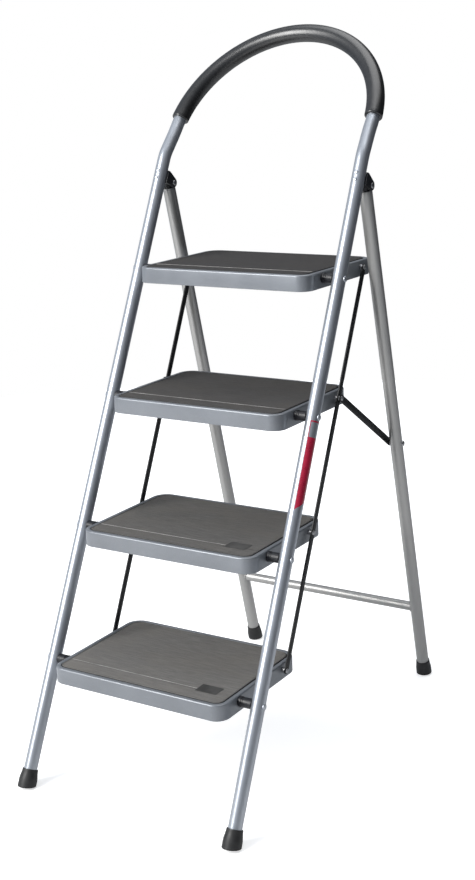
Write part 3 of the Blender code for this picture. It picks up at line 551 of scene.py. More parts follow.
class FinishMaker:
    """Short calls for building a material on object coordinates."""

    def __init__(self, name, **sockets):
        self.material = bpy.data.materials.new(name)
        self.material.use_nodes = True
        self.tree = self.material.node_tree
        self.shader = self.tree.nodes["Principled BSDF"]
        self.place = self.tree.nodes.new("ShaderNodeTexCoord").outputs["Object"]
        for key, value in sockets.items():
            self.shader.inputs[key.replace("_", " ").title().replace("Ior", "IOR")].default_value = value

    def stretched(self, scale):
        made = self.tree.nodes.new("ShaderNodeMapping")
        made.inputs["Scale"].default_value = scale
        self.tree.links.new(self.place, made.inputs["Vector"])
        return made.outputs[0]

    def noise(self, scale, detail=3.0, roughness=0.5, stretch=None):
        made = self.tree.nodes.new("ShaderNodeTexNoise")
        made.inputs["Scale"].default_value = scale
        made.inputs["Detail"].default_value = detail
        made.inputs["Roughness"].default_value = roughness
        self.tree.links.new(self.stretched(stretch) if stretch else self.place, made.inputs["Vector"])
        return made.outputs[0]

    def cells(self, scale):
        made = self.tree.nodes.new("ShaderNodeTexVoronoi")
        made.inputs["Scale"].default_value = scale
        self.tree.links.new(self.place, made.inputs["Vector"])
        return made.outputs["Distance"]

    def between(self, value, low, high, to_low, to_high):
        made = self.tree.nodes.new("ShaderNodeMapRange")
        for key, number in zip((1, 2, 3, 4), (low, high, to_low, to_high)):
            made.inputs[key].default_value = number
        self.tree.links.new(value, made.inputs[0])
        return made.outputs[0]

    def combine(self, operation, first, second):
        made = self.tree.nodes.new("ShaderNodeMath")
        made.operation = operation
        for socket, value in zip(made.inputs, (first, second)):
            if isinstance(value, bpy.types.NodeSocket):
                self.tree.links.new(value, socket)
            else:
                socket.default_value = value
        return made.outputs[0]

    def height(self):
        made = self.tree.nodes.new("ShaderNodeSeparateXYZ")
        self.tree.links.new(self.place, made.inputs[0])
        return made.outputs[2]

    def colours(self, value, *stops):
        made = self.tree.nodes.new("ShaderNodeValToRGB")
        ramp = made.color_ramp
        while len(ramp.elements) < len(stops):
            ramp.elements.new(0.5)
        for element, (position, colour) in zip(ramp.elements, stops):
            element.position = position
            element.color = (*colour, 1.0)
        self.tree.links.new(value, made.inputs[0])
        return made.outputs[0]

    def mix(self, factor, first, second):
        made = self.tree.nodes.new("ShaderNodeMix")
        made.data_type = "RGBA"
        for socket, value in ((made.inputs[0], factor), (made.inputs[6], first), (made.inputs[7], second)):
            if isinstance(value, bpy.types.NodeSocket):
                self.tree.links.new(value, socket)
            else:
                socket.default_value = value if isinstance(value, float) else (*value, 1.0)
        return made.outputs[2]

    def bump(self, height, strength, distance):
        made = self.tree.nodes.new("ShaderNodeBump")
        made.inputs["Strength"].default_value = strength
        made.inputs["Distance"].default_value = distance
        self.tree.links.new(height, made.inputs["Height"])
        self.feed("Normal", made.outputs[0])

    def feed(self, socket, value):
        self.tree.links.new(value, self.shader.inputs[socket])


def shade(colour, factor):
    return tuple(part * factor for part in colour)


def silver_paint(name, colour, metallic):
    """Sprayed metallic paint: fine flakes, a clear coat, faint clouding and scuffs low down."""
    finish = FinishMaker(name, metallic=metallic, coat_weight=0.12, coat_roughness=0.22)
    clouds = finish.noise(7.0, 4.0)
    flakes = finish.noise(2600.0, 2.0, 0.7)
    paint = finish.colours(clouds, (0.3, shade(colour, 0.95)), (0.7, shade(colour, 1.04)))
    flaked = finish.mix(finish.between(flakes, 0.35, 0.65, 0.0, 0.06), paint, shade(colour, 1.4))
    scuffs = finish.noise(42.0, 6.0, 0.7, (1.0, 1.0, 0.22))
    low_down = finish.between(finish.height(), 0.02, 0.34, 1.0, 0.0)
    worn = finish.combine("MULTIPLY", finish.between(scuffs, 0.60, 0.72, 0.0, 0.55), low_down)
    finish.feed("Base Color", finish.mix(worn, flaked, shade(colour, 0.42)))
    gloss = finish.between(finish.noise(23.0, 3.0), 0.3, 0.7, 0.33, 0.39)
    finish.feed("Roughness", finish.combine("ADD", gloss, finish.combine("MULTIPLY", worn, 0.4)))
    finish.bump(finish.noise(300.0, 2.0), 0.05, 0.00006)
    return finish.material


def tread_paint(name, colour):
    """Satin sprayed paint with a light orange peel, rubbed a little paler in patches."""
    finish = FinishMaker(name, metallic=0.35, coat_weight=0.15, coat_roughness=0.25)
    clouds = finish.noise(11.0, 5.0)
    rubbed = finish.noise(60.0, 6.0, 0.65, (0.25, 1.0, 1.0))
    flakes = finish.noise(1500.0, 2.0, 0.7)
    paint = finish.colours(clouds, (0.3, shade(colour, 0.9)), (0.7, shade(colour, 1.1)))
    flaked = finish.mix(finish.between(flakes, 0.4, 0.68, 0.0, 0.2), paint, shade(colour, 1.7))
    pale = finish.between(rubbed, 0.58, 0.75, 0.0, 0.35)
    finish.feed("Base Color", finish.mix(pale, flaked, shade(colour, 1.35)))
    finish.feed("Roughness", finish.between(clouds, 0.3, 0.7, 0.30, 0.42))
    finish.bump(finish.noise(420.0, 2.0), 0.22, 0.00012)
    return finish.material


LOW_TREAD, HIGH_TREAD = 0.22, 0.80  # heights between which the mats are painted darker, painted shade that grows towards the top
# near-black colour that the higher mats are mixed towards: painted shade
HIGH_MAT_SHADE = (0.012, 0.012, 0.0145)


def mat_rubber(name, colour):
    """Ribbed rubber: streaks along the ribs, dust in the grooves, and painted shade that makes each mat darker
    the higher it stands.
    """
    finish = FinishMaker(name, specular_ior_level=0.08)
    streaks = finish.noise(260.0, 6.0, 0.7, (0.09, 1.0, 0.3))
    patches = finish.noise(11.0, 5.0, 0.65, (0.7, 1.3, 1.0))
    grain = finish.noise(1300.0, 2.0)
    rubber = finish.colours(
        streaks, (0.30, shade(colour, 0.78)), (0.5, colour), (0.72, shade(colour, 1.3))
    )
    warm = finish.between(patches, 0.4, 0.75, 0.0, 0.5)
    tinted = finish.mix(warm, rubber, (colour[0] * 1.22, colour[1] * 1.16, colour[2] * 1.06))
    dusty = finish.mix(finish.between(grain, 0.45, 0.7, 0.0, 0.25), tinted, shade(colour, 1.7))
    # painted shade: the higher the mat, the more it is darkened towards the near-black colour
    painted_height_shade = finish.between(finish.height(), LOW_TREAD, HIGH_TREAD, 0.0, 0.74)
    finish.feed("Base Color", finish.mix(painted_height_shade, dusty, HIGH_MAT_SHADE))
    finish.feed("Roughness", finish.between(streaks, 0.3, 0.7, 0.74, 0.9))
    finish.bump(finish.combine("ADD", grain, streaks), 0.35, 0.00018)
    return finish.material


def smooth_rubber(name, colour, roughness=0.5):
    """Moulded rubber with a fine skin and a dusty bloom."""
    finish = FinishMaker(name, specular_ior_level=0.45)
    bloom = finish.noise(38.0, 5.0, 0.62)
    skin = finish.noise(950.0, 3.0, 0.6)
    base = finish.colours(bloom, (0.35, shade(colour, 0.8)), (0.72, shade(colour, 1.9)))
    finish.feed("Base Color", base)
    finish.feed("Roughness", finish.between(bloom, 0.3, 0.75, roughness - 0.07, roughness + 0.13))
    finish.bump(skin, 0.25, 0.00012)
    return finish.material


def foam_skin(name, colour):
    """Soft closed-cell foam: tiny cells with painted shade in their pores, a low satin sheen and faint moulding
    marks around it.
    """
    finish = FinishMaker(name, specular_ior_level=0.95)
    cells = finish.cells(820.0)
    soft = finish.noise(26.0, 4.0)
    base = finish.colours(soft, (0.3, shade(colour, 0.8)), (0.75, shade(colour, 1.2)))
    # painted shade in the pores: darker towards each cell's centre
    pore_shade = finish.between(cells, 0.0, 0.45, 0.35, 0.0)
    finish.feed("Base Color", finish.mix(pore_shade, base, shade(colour, 0.4)))
    finish.feed("Roughness", finish.between(soft, 0.3, 0.7, 0.30, 0.37))
    finish.bump(finish.combine("ADD", cells, finish.noise(300.0, 2.0)), 0.16, 0.00018)
    return finish.material


def moulded_plastic(name, colour):
    """Spark-textured moulded plastic."""
    finish = FinishMaker(name, specular_ior_level=0.5)
    texture = finish.noise(1100.0, 3.0, 0.7)
    wide = finish.noise(45.0, 4.0)
    finish.feed("Base Color", finish.colours(wide, (0.3, shade(colour, 0.8)), (0.7, shade(colour, 1.5))))
    finish.feed("Roughness", finish.between(wide, 0.3, 0.7, 0.36, 0.5))
    finish.bump(texture, 0.3, 0.00012)
    return finish.material


def black_paint(name, colour):
    """Satin black paint on flat bar, rubbed to grey here and there."""
    finish = FinishMaker(name, specular_ior_level=0.28)
    rub = finish.noise(75.0, 6.0, 0.7, (1.0, 1.0, 0.3))
    worn = finish.between(rub, 0.62, 0.78, 0.0, 0.3)
    finish.feed("Base Color", finish.mix(worn, colour, shade(colour, 5.0)))
    finish.feed("Roughness", finish.between(rub, 0.3, 0.7, 0.40, 0.52))
    finish.bump(finish.noise(520.0, 2.0), 0.2, 0.0001)
    return finish.material


def bright_steel(name, colour=(0.42, 0.42, 0.43)):
    """Zinc-plated steel with turning marks and slight tarnish."""
    finish = FinishMaker(name, metallic=1.0)
    marks = finish.noise(900.0, 3.0, 0.6, (4.0, 1.0, 1.0))
    tarnish = finish.noise(120.0, 4.0, 0.6)
    finish.feed("Base Color", finish.colours(tarnish, (0.35, shade(colour, 0.72)), (0.7, shade(colour, 1.15))))
    finish.feed("Roughness", finish.between(marks, 0.3, 0.7, 0.26, 0.42))
    finish.bump(marks, 0.12, 0.00005)
    return finish.material


def film(name, colour):
    """Printed film: one plain colour under gloss, a little faded."""
    finish = FinishMaker(name, coat_weight=0.6, coat_roughness=0.08, specular_ior_level=0.5)
    fade = finish.noise(55.0, 4.0, 0.6)
    finish.feed("Base Color", finish.colours(fade, (0.3, shade(colour, 0.8)), (0.75, shade(colour, 1.2))))
    finish.feed("Roughness", finish.between(fade, 0.3, 0.7, 0.25, 0.36))
    finish.bump(finish.noise(400.0, 2.0), 0.08, 0.00006)
    return finish.material


def finish_of(name):
    """The finish with this name, made on its first use."""
    made = bpy.data.materials.get(name)
    if made:
        return made
    colours = bpy.context.scene.ladder_finish
    makers = {
        "Stile Paint": lambda: silver_paint(name, colours.stile_colour, 0.75),
        "Leg Paint": lambda: silver_paint(name, colours.leg_colour, 0.65),
        "Tread Paint": lambda: tread_paint(name, colours.tread_colour),
        "Mat Rubber": lambda: mat_rubber(name, colours.mat_colour),
        "Mat Patch": lambda: smooth_rubber(name, shade(colours.mat_colour, 0.32), 0.62),
        # near black: painted shade in the gap between the tread's rim and the mat
        "Mat Skirt": lambda: smooth_rubber(name, (0.007, 0.007, 0.008), 0.7),
        # lighter than the mat: a painted highlight on the raised line across it
        "Mat Line": lambda: smooth_rubber(name, shade(colours.mat_colour, 1.7), 0.6),
        "Grip Foam": lambda: foam_skin(name, colours.grip_colour),
        "Foot Rubber": lambda: smooth_rubber(name, (0.014, 0.014, 0.014), 0.46),
        "Bracket Plastic": lambda: moulded_plastic(name, (0.006, 0.0065, 0.009)),
        "Bar Paint": lambda: black_paint(name, colours.bar_colour),
        "Rivet Steel": lambda: bright_steel(name),
        "Colour Band": lambda: film(name, colours.band_colour),
    }
    return makers[name]()


# Paths of the front frame


def loop_point(x, along):
    tubes = bpy.context.scene.ladder_tubes
    up = Vector((0.0, math.sin(tubes.loop_lean), math.cos(tubes.loop_lean)))
    return in_middle(stile_point(0.0, tubes.bend_height)) + up * along + RIGHT * x


def eased(share):
    return share * share * (3 - 2 * share)


def neck_points(side, bend_steps=14, neck_steps=10):
    """From the stile's end round the bend and up to the foot of the arch, easing out to the arch's width."""
    tubes = bpy.context.scene.ladder_tubes
    turn = tubes.loop_lean - tubes.lean
    reach = tubes.bend_radius * math.tan(turn / 2)
    start = in_middle(stile_point(0.0, tubes.bend_height)) - stile_up() * reach
    points = []
    for i in range(bend_steps + 1):
        angle = turn * i / bend_steps
        forward = stile_up() * math.sin(angle) + stile_back() * (1 - math.cos(angle))
        points.append(start + forward * tubes.bend_radius)
    last = points[-1]
    arch_foot = loop_point(0.0, tubes.loop_neck)
    points += [last.lerp(arch_foot, i / neck_steps) for i in range(1, neck_steps)]
    lengths = [0.0]
    for here, following in zip(points, points[1:] + [arch_foot]):
        lengths.append(lengths[-1] + (following - here).length)
    x_start = stile_x(tubes.bend_height)
    for point, travelled in zip(points, lengths):
        point.x = side * (x_start + (tubes.loop_half_width - x_start) * eased(travelled / lengths[-1]))
    return points


def arch_points(steps=132):
    tubes = bpy.context.scene.ladder_tubes
    turns = [math.pi * i / steps for i in range(steps + 1)]
    half, neck, rise = tubes.loop_half_width, tubes.loop_neck, tubes.loop_rise
    return [loop_point(half * math.cos(a), neck + rise * math.sin(a)) for a in turns]


def grip_points():
    """The stretch of the arch under the grip, with close steps at its ends for the rounding."""
    tubes = bpy.context.scene.ladder_tubes
    path = arch_points(528)
    centre = len(path) // 2
    half = tubes.grip_half_length
    near_end = [0.0, 0.0003, 0.0008, 0.0015, tubes.grip_rounding]
    stations = [half - d for d in near_end] + [half * (1 - (i + 1) / 60) * 0.99 for i in range(59)]
    stations = sorted(set(stations), reverse=True)
    points, radii = [], []
    for station in stations:
        travelled, i = 0.0, centre
        while i + 1 < len(path) and travelled + (path[i + 1] - path[i]).length < station:
            travelled += (path[i + 1] - path[i]).length
            i += 1
        if i + 1 < len(path):
            step = path[i + 1] - path[i]
            points.append(path[i] + step.normalized() * (station - travelled))
        else:
            points.append(path[i])
        from_end = min((half - station) / tubes.grip_rounding, 1.0)
        radii.append(tubes.grip_radius - tubes.grip_rounding * (1 - math.sqrt(1 - (1 - from_end) ** 2)))
    other = [Vector((-p.x, p.y, p.z)) for p in reversed(points)]
    return points + [path[centre]] + other, radii + [tubes.grip_radius] + radii[::-1]


# Operators


class LADDER_OT_front_frame(Operator):
    """Bends the stiles and the grab loop from one tube"""

    bl_idname = "ladder.front_frame"
    bl_label = "Front frame tube"

    def execute(self, context):
        tubes = context.scene.ladder_tubes
        lowest = 0.010 * math.cos(tubes.lean)
        straight = [lowest + (tubes.bend_height - 0.03 - lowest) * i / 24 for i in range(25)]
        right = [stile_point(1.0, z) for z in straight] + neck_points(1.0)
        left = neck_points(-1.0)[::-1] + [stile_point(-1.0, z) for z in reversed(straight)]
        path = right + arch_points() + left
        tube = tube_piece(
            "front_frame_shell", path, [tubes.radius] * len(path), finish_of("Stile Paint"), tubes.sides
        )
        settle(tube, "front_frame", ["front_frame_tube"])
        return {"FINISHED"}


class LADDER_OT_grip(Operator):
    """Slides the foam grip over the top of the grab loop"""

    bl_idname = "ladder.grip"
    bl_label = "Foam grip"

    def execute(self, context):
        points, radii = grip_points()
        grip = tube_piece("foam_grip", points, radii, finish_of("Grip Foam"), context.scene.ladder_tubes.sides)
        settle(grip, "front_frame", ["handle_grip"])
        return {"FINISHED"}


def stretched_leg(side, profile):
    """Scales distances along the fore-and-aft leg line to the true line, which also leans inwards."""
    along = leg_point(side, LEG_LENGTH) - leg_point(side, 0.0)
    stretch = along.length / LEG_LENGTH
    return along, [(distance * stretch, radius) for distance, radius in profile]


class LADDER_OT_rear_legs(Operator):
    """Turns the rear legs with their drawn-in necks"""

    bl_idname = "ladder.rear_legs"
    bl_label = "Rear legs"

    def execute(self, context):
        tubes = context.scene.ladder_tubes
        neck = tubes.neck_radius
        full = tubes.radius
        for label, side in SIDES.items():
            top = tubes.shoulder
            shoulder = [(top, neck), (top, full - 0.0006), (top + 0.0002, full - 0.0001), (top + 0.0007, full)]
            start, end = 0.02, LEG_LENGTH - 0.010
            shaft = [(start + (end - start) * i / 20, full) for i in range(21)]
            along, profile = stretched_leg(side, shoulder + shaft)
            mesh = bmesh.new()
            turned_body(mesh, leg_point(side, 0.0), along, profile, tubes.sides)
            nodes = [f"rear_leg_{label}"]
            piece(mesh, f"rear_leg_shell_{label}", finish_of("Leg Paint"), "rear_frame", nodes)
            turns = [math.radians(degrees) for degrees in range(80, 0, -10)]
            dome = [(-neck * math.sin(a), neck * math.cos(a)) for a in turns]
            along, profile = stretched_leg(side, [*dome, (0.0, neck), (top + 0.0005, neck)])
            mesh = bmesh.new()
            turned_body(mesh, leg_point(side, 0.0), along, profile, tubes.sides)
            piece(mesh, f"rear_leg_neck_{label}", finish_of("Bracket Plastic"), "rear_frame", [])
        return {"FINISHED"}


class LADDER_OT_cross_tube(Operator):
    """Sets the cross tube between the legs and lays a weld bead round each end"""

    bl_idname = "ladder.cross_tube"
    bl_label = "Cross tube and welds"

    def execute(self, context):
        tubes = context.scene.ladder_tubes
        height = middle("rear_cross_tube").z
        distance = (LEG_PIVOT.z - height) / -LEG_DOWN.z
        leg_paint = finish_of("Leg Paint")
        reach = tubes.radius - 0.0035
        ends = [leg_point(side, distance) - RIGHT * side * reach for side in SIDES.values()]
        path = [ends[0].lerp(ends[1], i / 12) for i in range(13)]
        tube = tube_piece("cross_tube_shell", path, [tubes.cross_radius] * len(path), leg_paint, tubes.sides)
        settle(tube, "rear_frame", ["rear_cross_tube"])
        beads = []
        for label, side in SIDES.items():
            centre = leg_point(side, distance)
            line = []
            for i in range(96):
                a = 2 * math.pi * i / 96
                behind = tubes.cross_radius * math.sin(a)
                below = tubes.cross_radius * math.cos(a)
                inward = math.sqrt(tubes.radius**2 - behind**2)
                line.append(centre - RIGHT * side * inward + LEG_DOWN * below + LEG_BACK * behind)
            bead = path_object("bead_" + label, line, closed=True)
            with_tree(
                bead,
                tree_of("Weld bead"),
                radius=tubes.weld_radius,
                ripple=0.16,
                ripples=26.0,
                seed=3.0 + side,
                material=leg_paint,
            )
            beads.append(plain_mesh(bead, "bead_" + label, leg_paint))
        welds = merged("cross_tube_welds", beads, leg_paint, math.radians(75))
        settle(welds, "rear_frame", [])
        return {"FINISHED"}


FRONT_FOOT_TOP = 0.0148  # radius
REAR_FOOT_TOP = 0.0142
FOOT_HEIGHT = 0.035
TOE_RISE = 0.0035  # along the tube, from the ground to the plane of the raised toe
ON_PLANE = 1e-6
FOOT_BAND = 0.014  # height of the straight band above the sole
FOOT_RIM = 0.0012
SOLE_WALL = 0.003
SOCKET_FLOOR = 0.012
SOLE_ROUNDING = 0.0016


def foot_body(ground, along, sole, top, bore):
    """A rubber cup turned about the tube's line and flared to its sole, which is level but for a raised toe."""
    height, band, rim = FOOT_HEIGHT, FOOT_BAND, FOOT_RIM
    flare = []
    for share in (0.0, 0.15, 0.3, 0.45, 0.6, 0.75, 0.9, 1.0):
        drawn_in = (0.5 - 0.5 * math.cos(math.pi * share)) ** 0.85
        flare.append((band + (height - rim - band) * share, sole + (top - sole) * drawn_in))
    rounded = [
        (height - rim * 0.55, top - rim * 0.12),
        (height - rim * 0.15, top - rim * 0.45),
        (height, top - rim),
    ]
    inside = [(height, bore + 0.0004), (height - 0.002, bore), (SOCKET_FLOOR, bore)]
    profile = [(-sole, sole), (SOLE_WALL, sole), *flare, *rounded, *inside]
    mesh = bmesh.new()
    turned_body(mesh, ground, along, profile, 64)
    line = along.normalized()
    toe = ground + line * TOE_RISE
    rolled = (UP + line).normalized()
    for place, normal in ((Vector(), UP), (toe, rolled)):
        everything = mesh.verts[:] + mesh.edges[:] + mesh.faces[:]
        bmesh.ops.bisect_plane(mesh, geom=everything, plane_co=place, plane_no=normal, clear_inner=True)
        bmesh.ops.holes_fill(mesh, edges=[edge for edge in mesh.edges if edge.is_boundary])
    on_sole = [abs(v.co.z) < ON_PLANE or abs((v.co - toe).dot(rolled)) < ON_PLANE for v in mesh.verts]
    mesh.verts.index_update()
    sole_edges = [edge for edge in mesh.edges if all(on_sole[v.index] for v in edge.verts)]
    rounding = {"offset": SOLE_ROUNDING, "segments": 4, "profile": 0.5}
    bmesh.ops.bevel(mesh, geom=sole_edges, affect="EDGES", clamp_overlap=True, **rounding)
    return mesh


class LADDER_OT_feet(Operator):
    """Fits the four rubber feet"""

    bl_idname = "ladder.feet"
    bl_label = "Rubber feet"

    def execute(self, context):
        tubes = context.scene.ladder_tubes
        rubber = finish_of("Foot Rubber")
        for label, side in SIDES.items():
            front, rear = stile_point(side, 0.0), leg_point(side, LEG_LENGTH)
            ends = (
                ("front", front, stile_point(side, tubes.bend_height) - front, FRONT_SOLE, FRONT_FOOT_TOP),
                ("rear", rear, leg_point(side, 0.0) - rear, REAR_SOLE, REAR_FOOT_TOP),
            )
            for end, ground, along, sole, top in ends:
                mesh = foot_body(ground, along, sole, top, tubes.radius)
                node = f"{end}_foot_{label}"
                piece(mesh, f"{end}_foot_rubber_{label}", rubber, f"{end}_frame", [node])
        return {"FINISHED"}


def bracket_outline(x, steps=22):
    """Side view of the hinge bracket: along the stile, over a sloping top, round the nose, back underneath."""
    nose = 0.009
    above = 0.0155
    top_depth = 0.010
    stile_line = LEG_PIVOT - stile_back() * STILE_LINE_AHEAD

    def at(behind, along):
        return stile_line + stile_back() * behind + stile_up() * along + RIGHT * x

    corner_back = top_depth - STILE_LINE_AHEAD
    tangent = math.atan2(above, corner_back) - math.acos(nose / math.hypot(corner_back, above))
    turns = [tangent + (-math.pi / 2 - tangent) * i / steps for i in range(steps + 1)]
    arc = [at(STILE_LINE_AHEAD + nose * math.cos(a), nose * math.sin(a)) for a in turns]
    return [at(0.004, above), at(top_depth, above), *arc, at(0.004, -nose)]


def cut_away(obj, cutter_mesh):
    cutter_data = bpy.data.meshes.new("cutter")
    bmesh.ops.recalc_face_normals(cutter_mesh, faces=cutter_mesh.faces)
    cutter_mesh.to_mesh(cutter_data)
    cutter_mesh.free()
    cutter = linked("cutter", cutter_data)
    modifier = obj.modifiers.new("cut", "BOOLEAN")
    modifier.operation = "DIFFERENCE"
    modifier.object = cutter
    return cutter


BRACKET_WIDTH = 0.0306


class LADDER_OT_brackets(Operator):
    """Moulds the two hinge brackets at the tops of the legs"""

    bl_idname = "ladder.brackets"
    bl_label = "Hinge brackets"

    def execute(self, context):
        tubes = context.scene.ladder_tubes
        plastic = finish_of("Bracket Plastic")
        for label, side in SIDES.items():
            mesh = bmesh.new()
            pushed_outline(mesh, bracket_outline(side * BRACKET_X - BRACKET_WIDTH / 2), RIGHT * BRACKET_WIDTH)
            name = f"hinge_bracket_body_{label}"
            bracket = linked(name, finished_data(mesh, name, plastic))
            room = bmesh.new()
            low = stile_point(side, LEG_PIVOT.z - 0.08)
            high = stile_point(side, LEG_PIVOT.z + 0.08)
            wall = tubes.radius + GAP
            turned_body(room, low, high - low, [(0.0, wall), ((high - low).length, wall)], 96)
            cutters = [cut_away(bracket, room)]
            slot = bmesh.new()
            half = tubes.neck_radius + 2 * GAP
            seat = stile_back() * (BRACKET_SEAT - STILE_LINE_AHEAD)
            corner = LEG_PIVOT + seat + RIGHT * (side * BRACKET_X - half)
            deep = stile_back() * 0.06
            tall = stile_up() * 0.06
            opening = [corner - tall, corner - tall + deep, corner + tall + deep, corner + tall]
            pushed_outline(slot, opening, RIGHT * 2 * half)
            cutters.append(cut_away(bracket, slot))
            bevel = bracket.modifiers.new("edges", "BEVEL")
            bevel.width = 0.0006
            bevel.segments = 2
            bevel.limit_method = "ANGLE"
            bevel.angle_limit = math.radians(40)
            plain_mesh(bracket, name, plastic)
            for cutter in cutters:
                bpy.data.objects.remove(cutter)
            settle(bracket, "front_frame", [f"hinge_bracket_{label}"])
        return {"FINISHED"}


def tread_outline(inset, height, centre, settings, steps=14):
    """The tread's rounded outline moved in by an inset, at a height above the hinge."""
    low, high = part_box("tread_1")
    front = centre.y + (low.y - tread_pivot(1).y) + inset
    rear = centre.y + (high.y - tread_pivot(1).y) - inset
    half = high.x - inset
    front_radius = settings.front_corner - inset
    rear_radius = settings.rear_corner - inset
    corners = [
        (half - front_radius, front + front_radius, front_radius, -90),
        (half - rear_radius, rear - rear_radius, rear_radius, 0),
        (-half + rear_radius, rear - rear_radius, rear_radius, 90),
        (-half + front_radius, front + front_radius, front_radius, 180),
    ]
    points = []
    for x, y, radius, first in corners:
        for step in range(steps + 1):
            a = math.radians(first + 90 * step / steps)
            points.append(Vector((x + radius * math.cos(a), y + radius * math.sin(a), centre.z + height)))
    return points


def quarter(centre_inset, centre_height, radius, first, last, steps=7):
    """Part of a rounded edge as (inset, height) pairs; angles from outwards, up positive."""
    turns = [math.radians(first + (last - first) * i / steps) for i in range(steps + 1)]
    return [(centre_inset - radius * math.cos(a), centre_height + radius * math.sin(a)) for a in turns]


def stacked(mesh, centre, profile, settings):
    rings = [ring(mesh, tread_outline(inset, height, centre, settings)) for inset, height in profile]
    for first, second in zip(rings, rings[1:]):
        bridge(mesh, first, second)
    mesh.faces.new(rings[0])
    mesh.faces.new(rings[-1])


def corner_bead(mesh, centre, side, settings):
    """The upright seam where a front corner runs out into the side flange."""
    low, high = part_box("tread_1")
    y = centre.y + (low.y - tread_pivot(1).y) + settings.front_corner + 0.0015
    x = side * (high.x - 0.0004)
    levels = [
        (settings.rise - settings.roll - 0.0005, 0.0002),
        (settings.rise - settings.roll - 0.0015, 0.0008),
        (settings.rise - settings.height + 0.0020, 0.0008),
        (settings.rise - settings.height + 0.0008, 0.0002),
    ]
    along = -UP
    start = Vector((x, y, centre.z + levels[0][0]))
    profile = [(levels[0][0] - level, radius) for level, radius in levels]
    turned_body(mesh, start, along, profile, 14)


class LADDER_OT_treads(Operator):
    """Presses the four tread trays with rolled rims, flanges and lips"""

    bl_idname = "ladder.treads"
    bl_label = "Treads"

    def execute(self, context):
        s = context.scene.ladder_treads
        top, bottom, sheet, roll = s.rise, s.rise - s.height, s.sheet, s.roll
        under = 0.0008
        profile = [
            (s.rim + 0.0016, top - s.recess),
            (s.rim + 0.0011, top - s.recess),
            (s.rim + 0.0007, top - s.recess * 0.8),
            (s.rim + 0.0002, top - 0.00035),
            (s.rim - 0.0003, top - 0.00006),
            (s.rim - 0.0009, top),
            (roll + 0.0008, top),
            *quarter(roll, top - roll, roll, 90, 0, 8),
            *quarter(under, bottom + under, under, 0, -90, 4),
            (s.lip, bottom),
            (s.lip, bottom + sheet),
            (sheet + 0.0005, bottom + sheet),
            (sheet, bottom + sheet + 0.0005),
            (sheet, top - roll),
            *quarter(roll, top - roll, roll - sheet, 0, 90, 5),
            (s.rim + 0.0016, top - sheet - s.recess),
        ]
        for number in TREADS:
            centre = tread_pivot(number)
            mesh = bmesh.new()
            stacked(mesh, centre, profile, s)
            for side in SIDES.values():
                corner_bead(mesh, centre, side, s)
            body = f"tread_{number}"
            piece(mesh, f"tread_tray_{number}", finish_of("Tread Paint"), body, [body])
        return {"FINISHED"}


LINE_SECTION = ((-0.0006, -0.0001), (-0.0004, 0.0005), (0.0004, 0.0005), (0.0006, -0.0001))
PATCH_X = (0.106, 0.149)
PATCH_Y = (-0.020, 0.008)  # from the tread's hinge
PATCHED_TREADS = (1, 2)
PATCH_STEP = 0.0012
CLEAR_OF_PATCH = 0.0006
CLEAR_OF_LINE = 0.0026  # between the middles of the line and a rib


def rib_places(number, settings, edge):
    """Rib centres and lengths inside the mat's rounded border, clear of its line and of any patch."""
    low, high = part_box("tread_1")
    pivot = tread_pivot(number)
    front = low.y - tread_pivot(1).y + edge
    rear = high.y - tread_pivot(1).y - edge
    half = high.x - edge
    line = low.y - tread_pivot(1).y + settings.rim + settings.groove_behind_front
    places = []
    count = int((rear - front - settings.rib_width) / settings.rib_pitch)
    first = (front + rear - count * settings.rib_pitch) / 2
    for i in range(count + 1):
        y = first + i * settings.rib_pitch
        if abs(y - line) < CLEAR_OF_LINE:
            continue
        reach = half
        corners = ((settings.front_corner - edge, y - front), (settings.rear_corner - edge, rear - y))
        for radius, near in corners:
            inner = near - settings.rib_width / 2
            if inner < radius:
                reach = min(reach, half - radius + math.sqrt(max(radius**2 - (radius - inner) ** 2, 0.0)))
        spans = [(-reach, reach)]
        if number in PATCHED_TREADS and PATCH_Y[0] - 0.001 < y < PATCH_Y[1] + 0.001:
            spans = [(-reach, PATCH_X[0] - CLEAR_OF_PATCH), (PATCH_X[1] + CLEAR_OF_PATCH, reach)]
        places += [((start + end) / 2, pivot.y + y, end - start) for start, end in spans]
    return places, pivot.y + line


def mat_ribs(places, height, settings, rubber):
    data = bpy.data.meshes.new("ribs")
    data.from_pydata([(x, y, height) for x, y, _ in places], [], [])
    lengths = [rib_length for *_, rib_length in places]
    data.attributes.new("rib_length", "FLOAT", "POINT").data.foreach_set("value", lengths)
    ribs = linked("ribs", data)
    sizes = {"rib_width": settings.rib_width, "rib_height": settings.rib_height}
    with_tree(ribs, tree_of("Mat ribs"), **sizes, material=rubber)
    return plain_mesh(ribs, "ribs", rubber, math.radians(60))


def mat_patch(hinge_y, height):
    """A low plain patch between the ribs, with a second step on it."""
    mesh = bmesh.new()
    x0, x1 = PATCH_X
    y0, y1 = (hinge_y + y for y in PATCH_Y)
    for inset, low, high in ((0.0, -0.0002, 0.0003), (PATCH_STEP, 0.0, 0.0001)):
        left, right, front, rear = x0 + inset, x1 - inset, y0 + inset, y1 - inset
        corners = [(left, front), (right, front), (right, rear), (left, rear)]
        pushed_outline(mesh, [Vector((x, y, height + low)) for x, y in corners], UP * (high - low))
    return mesh


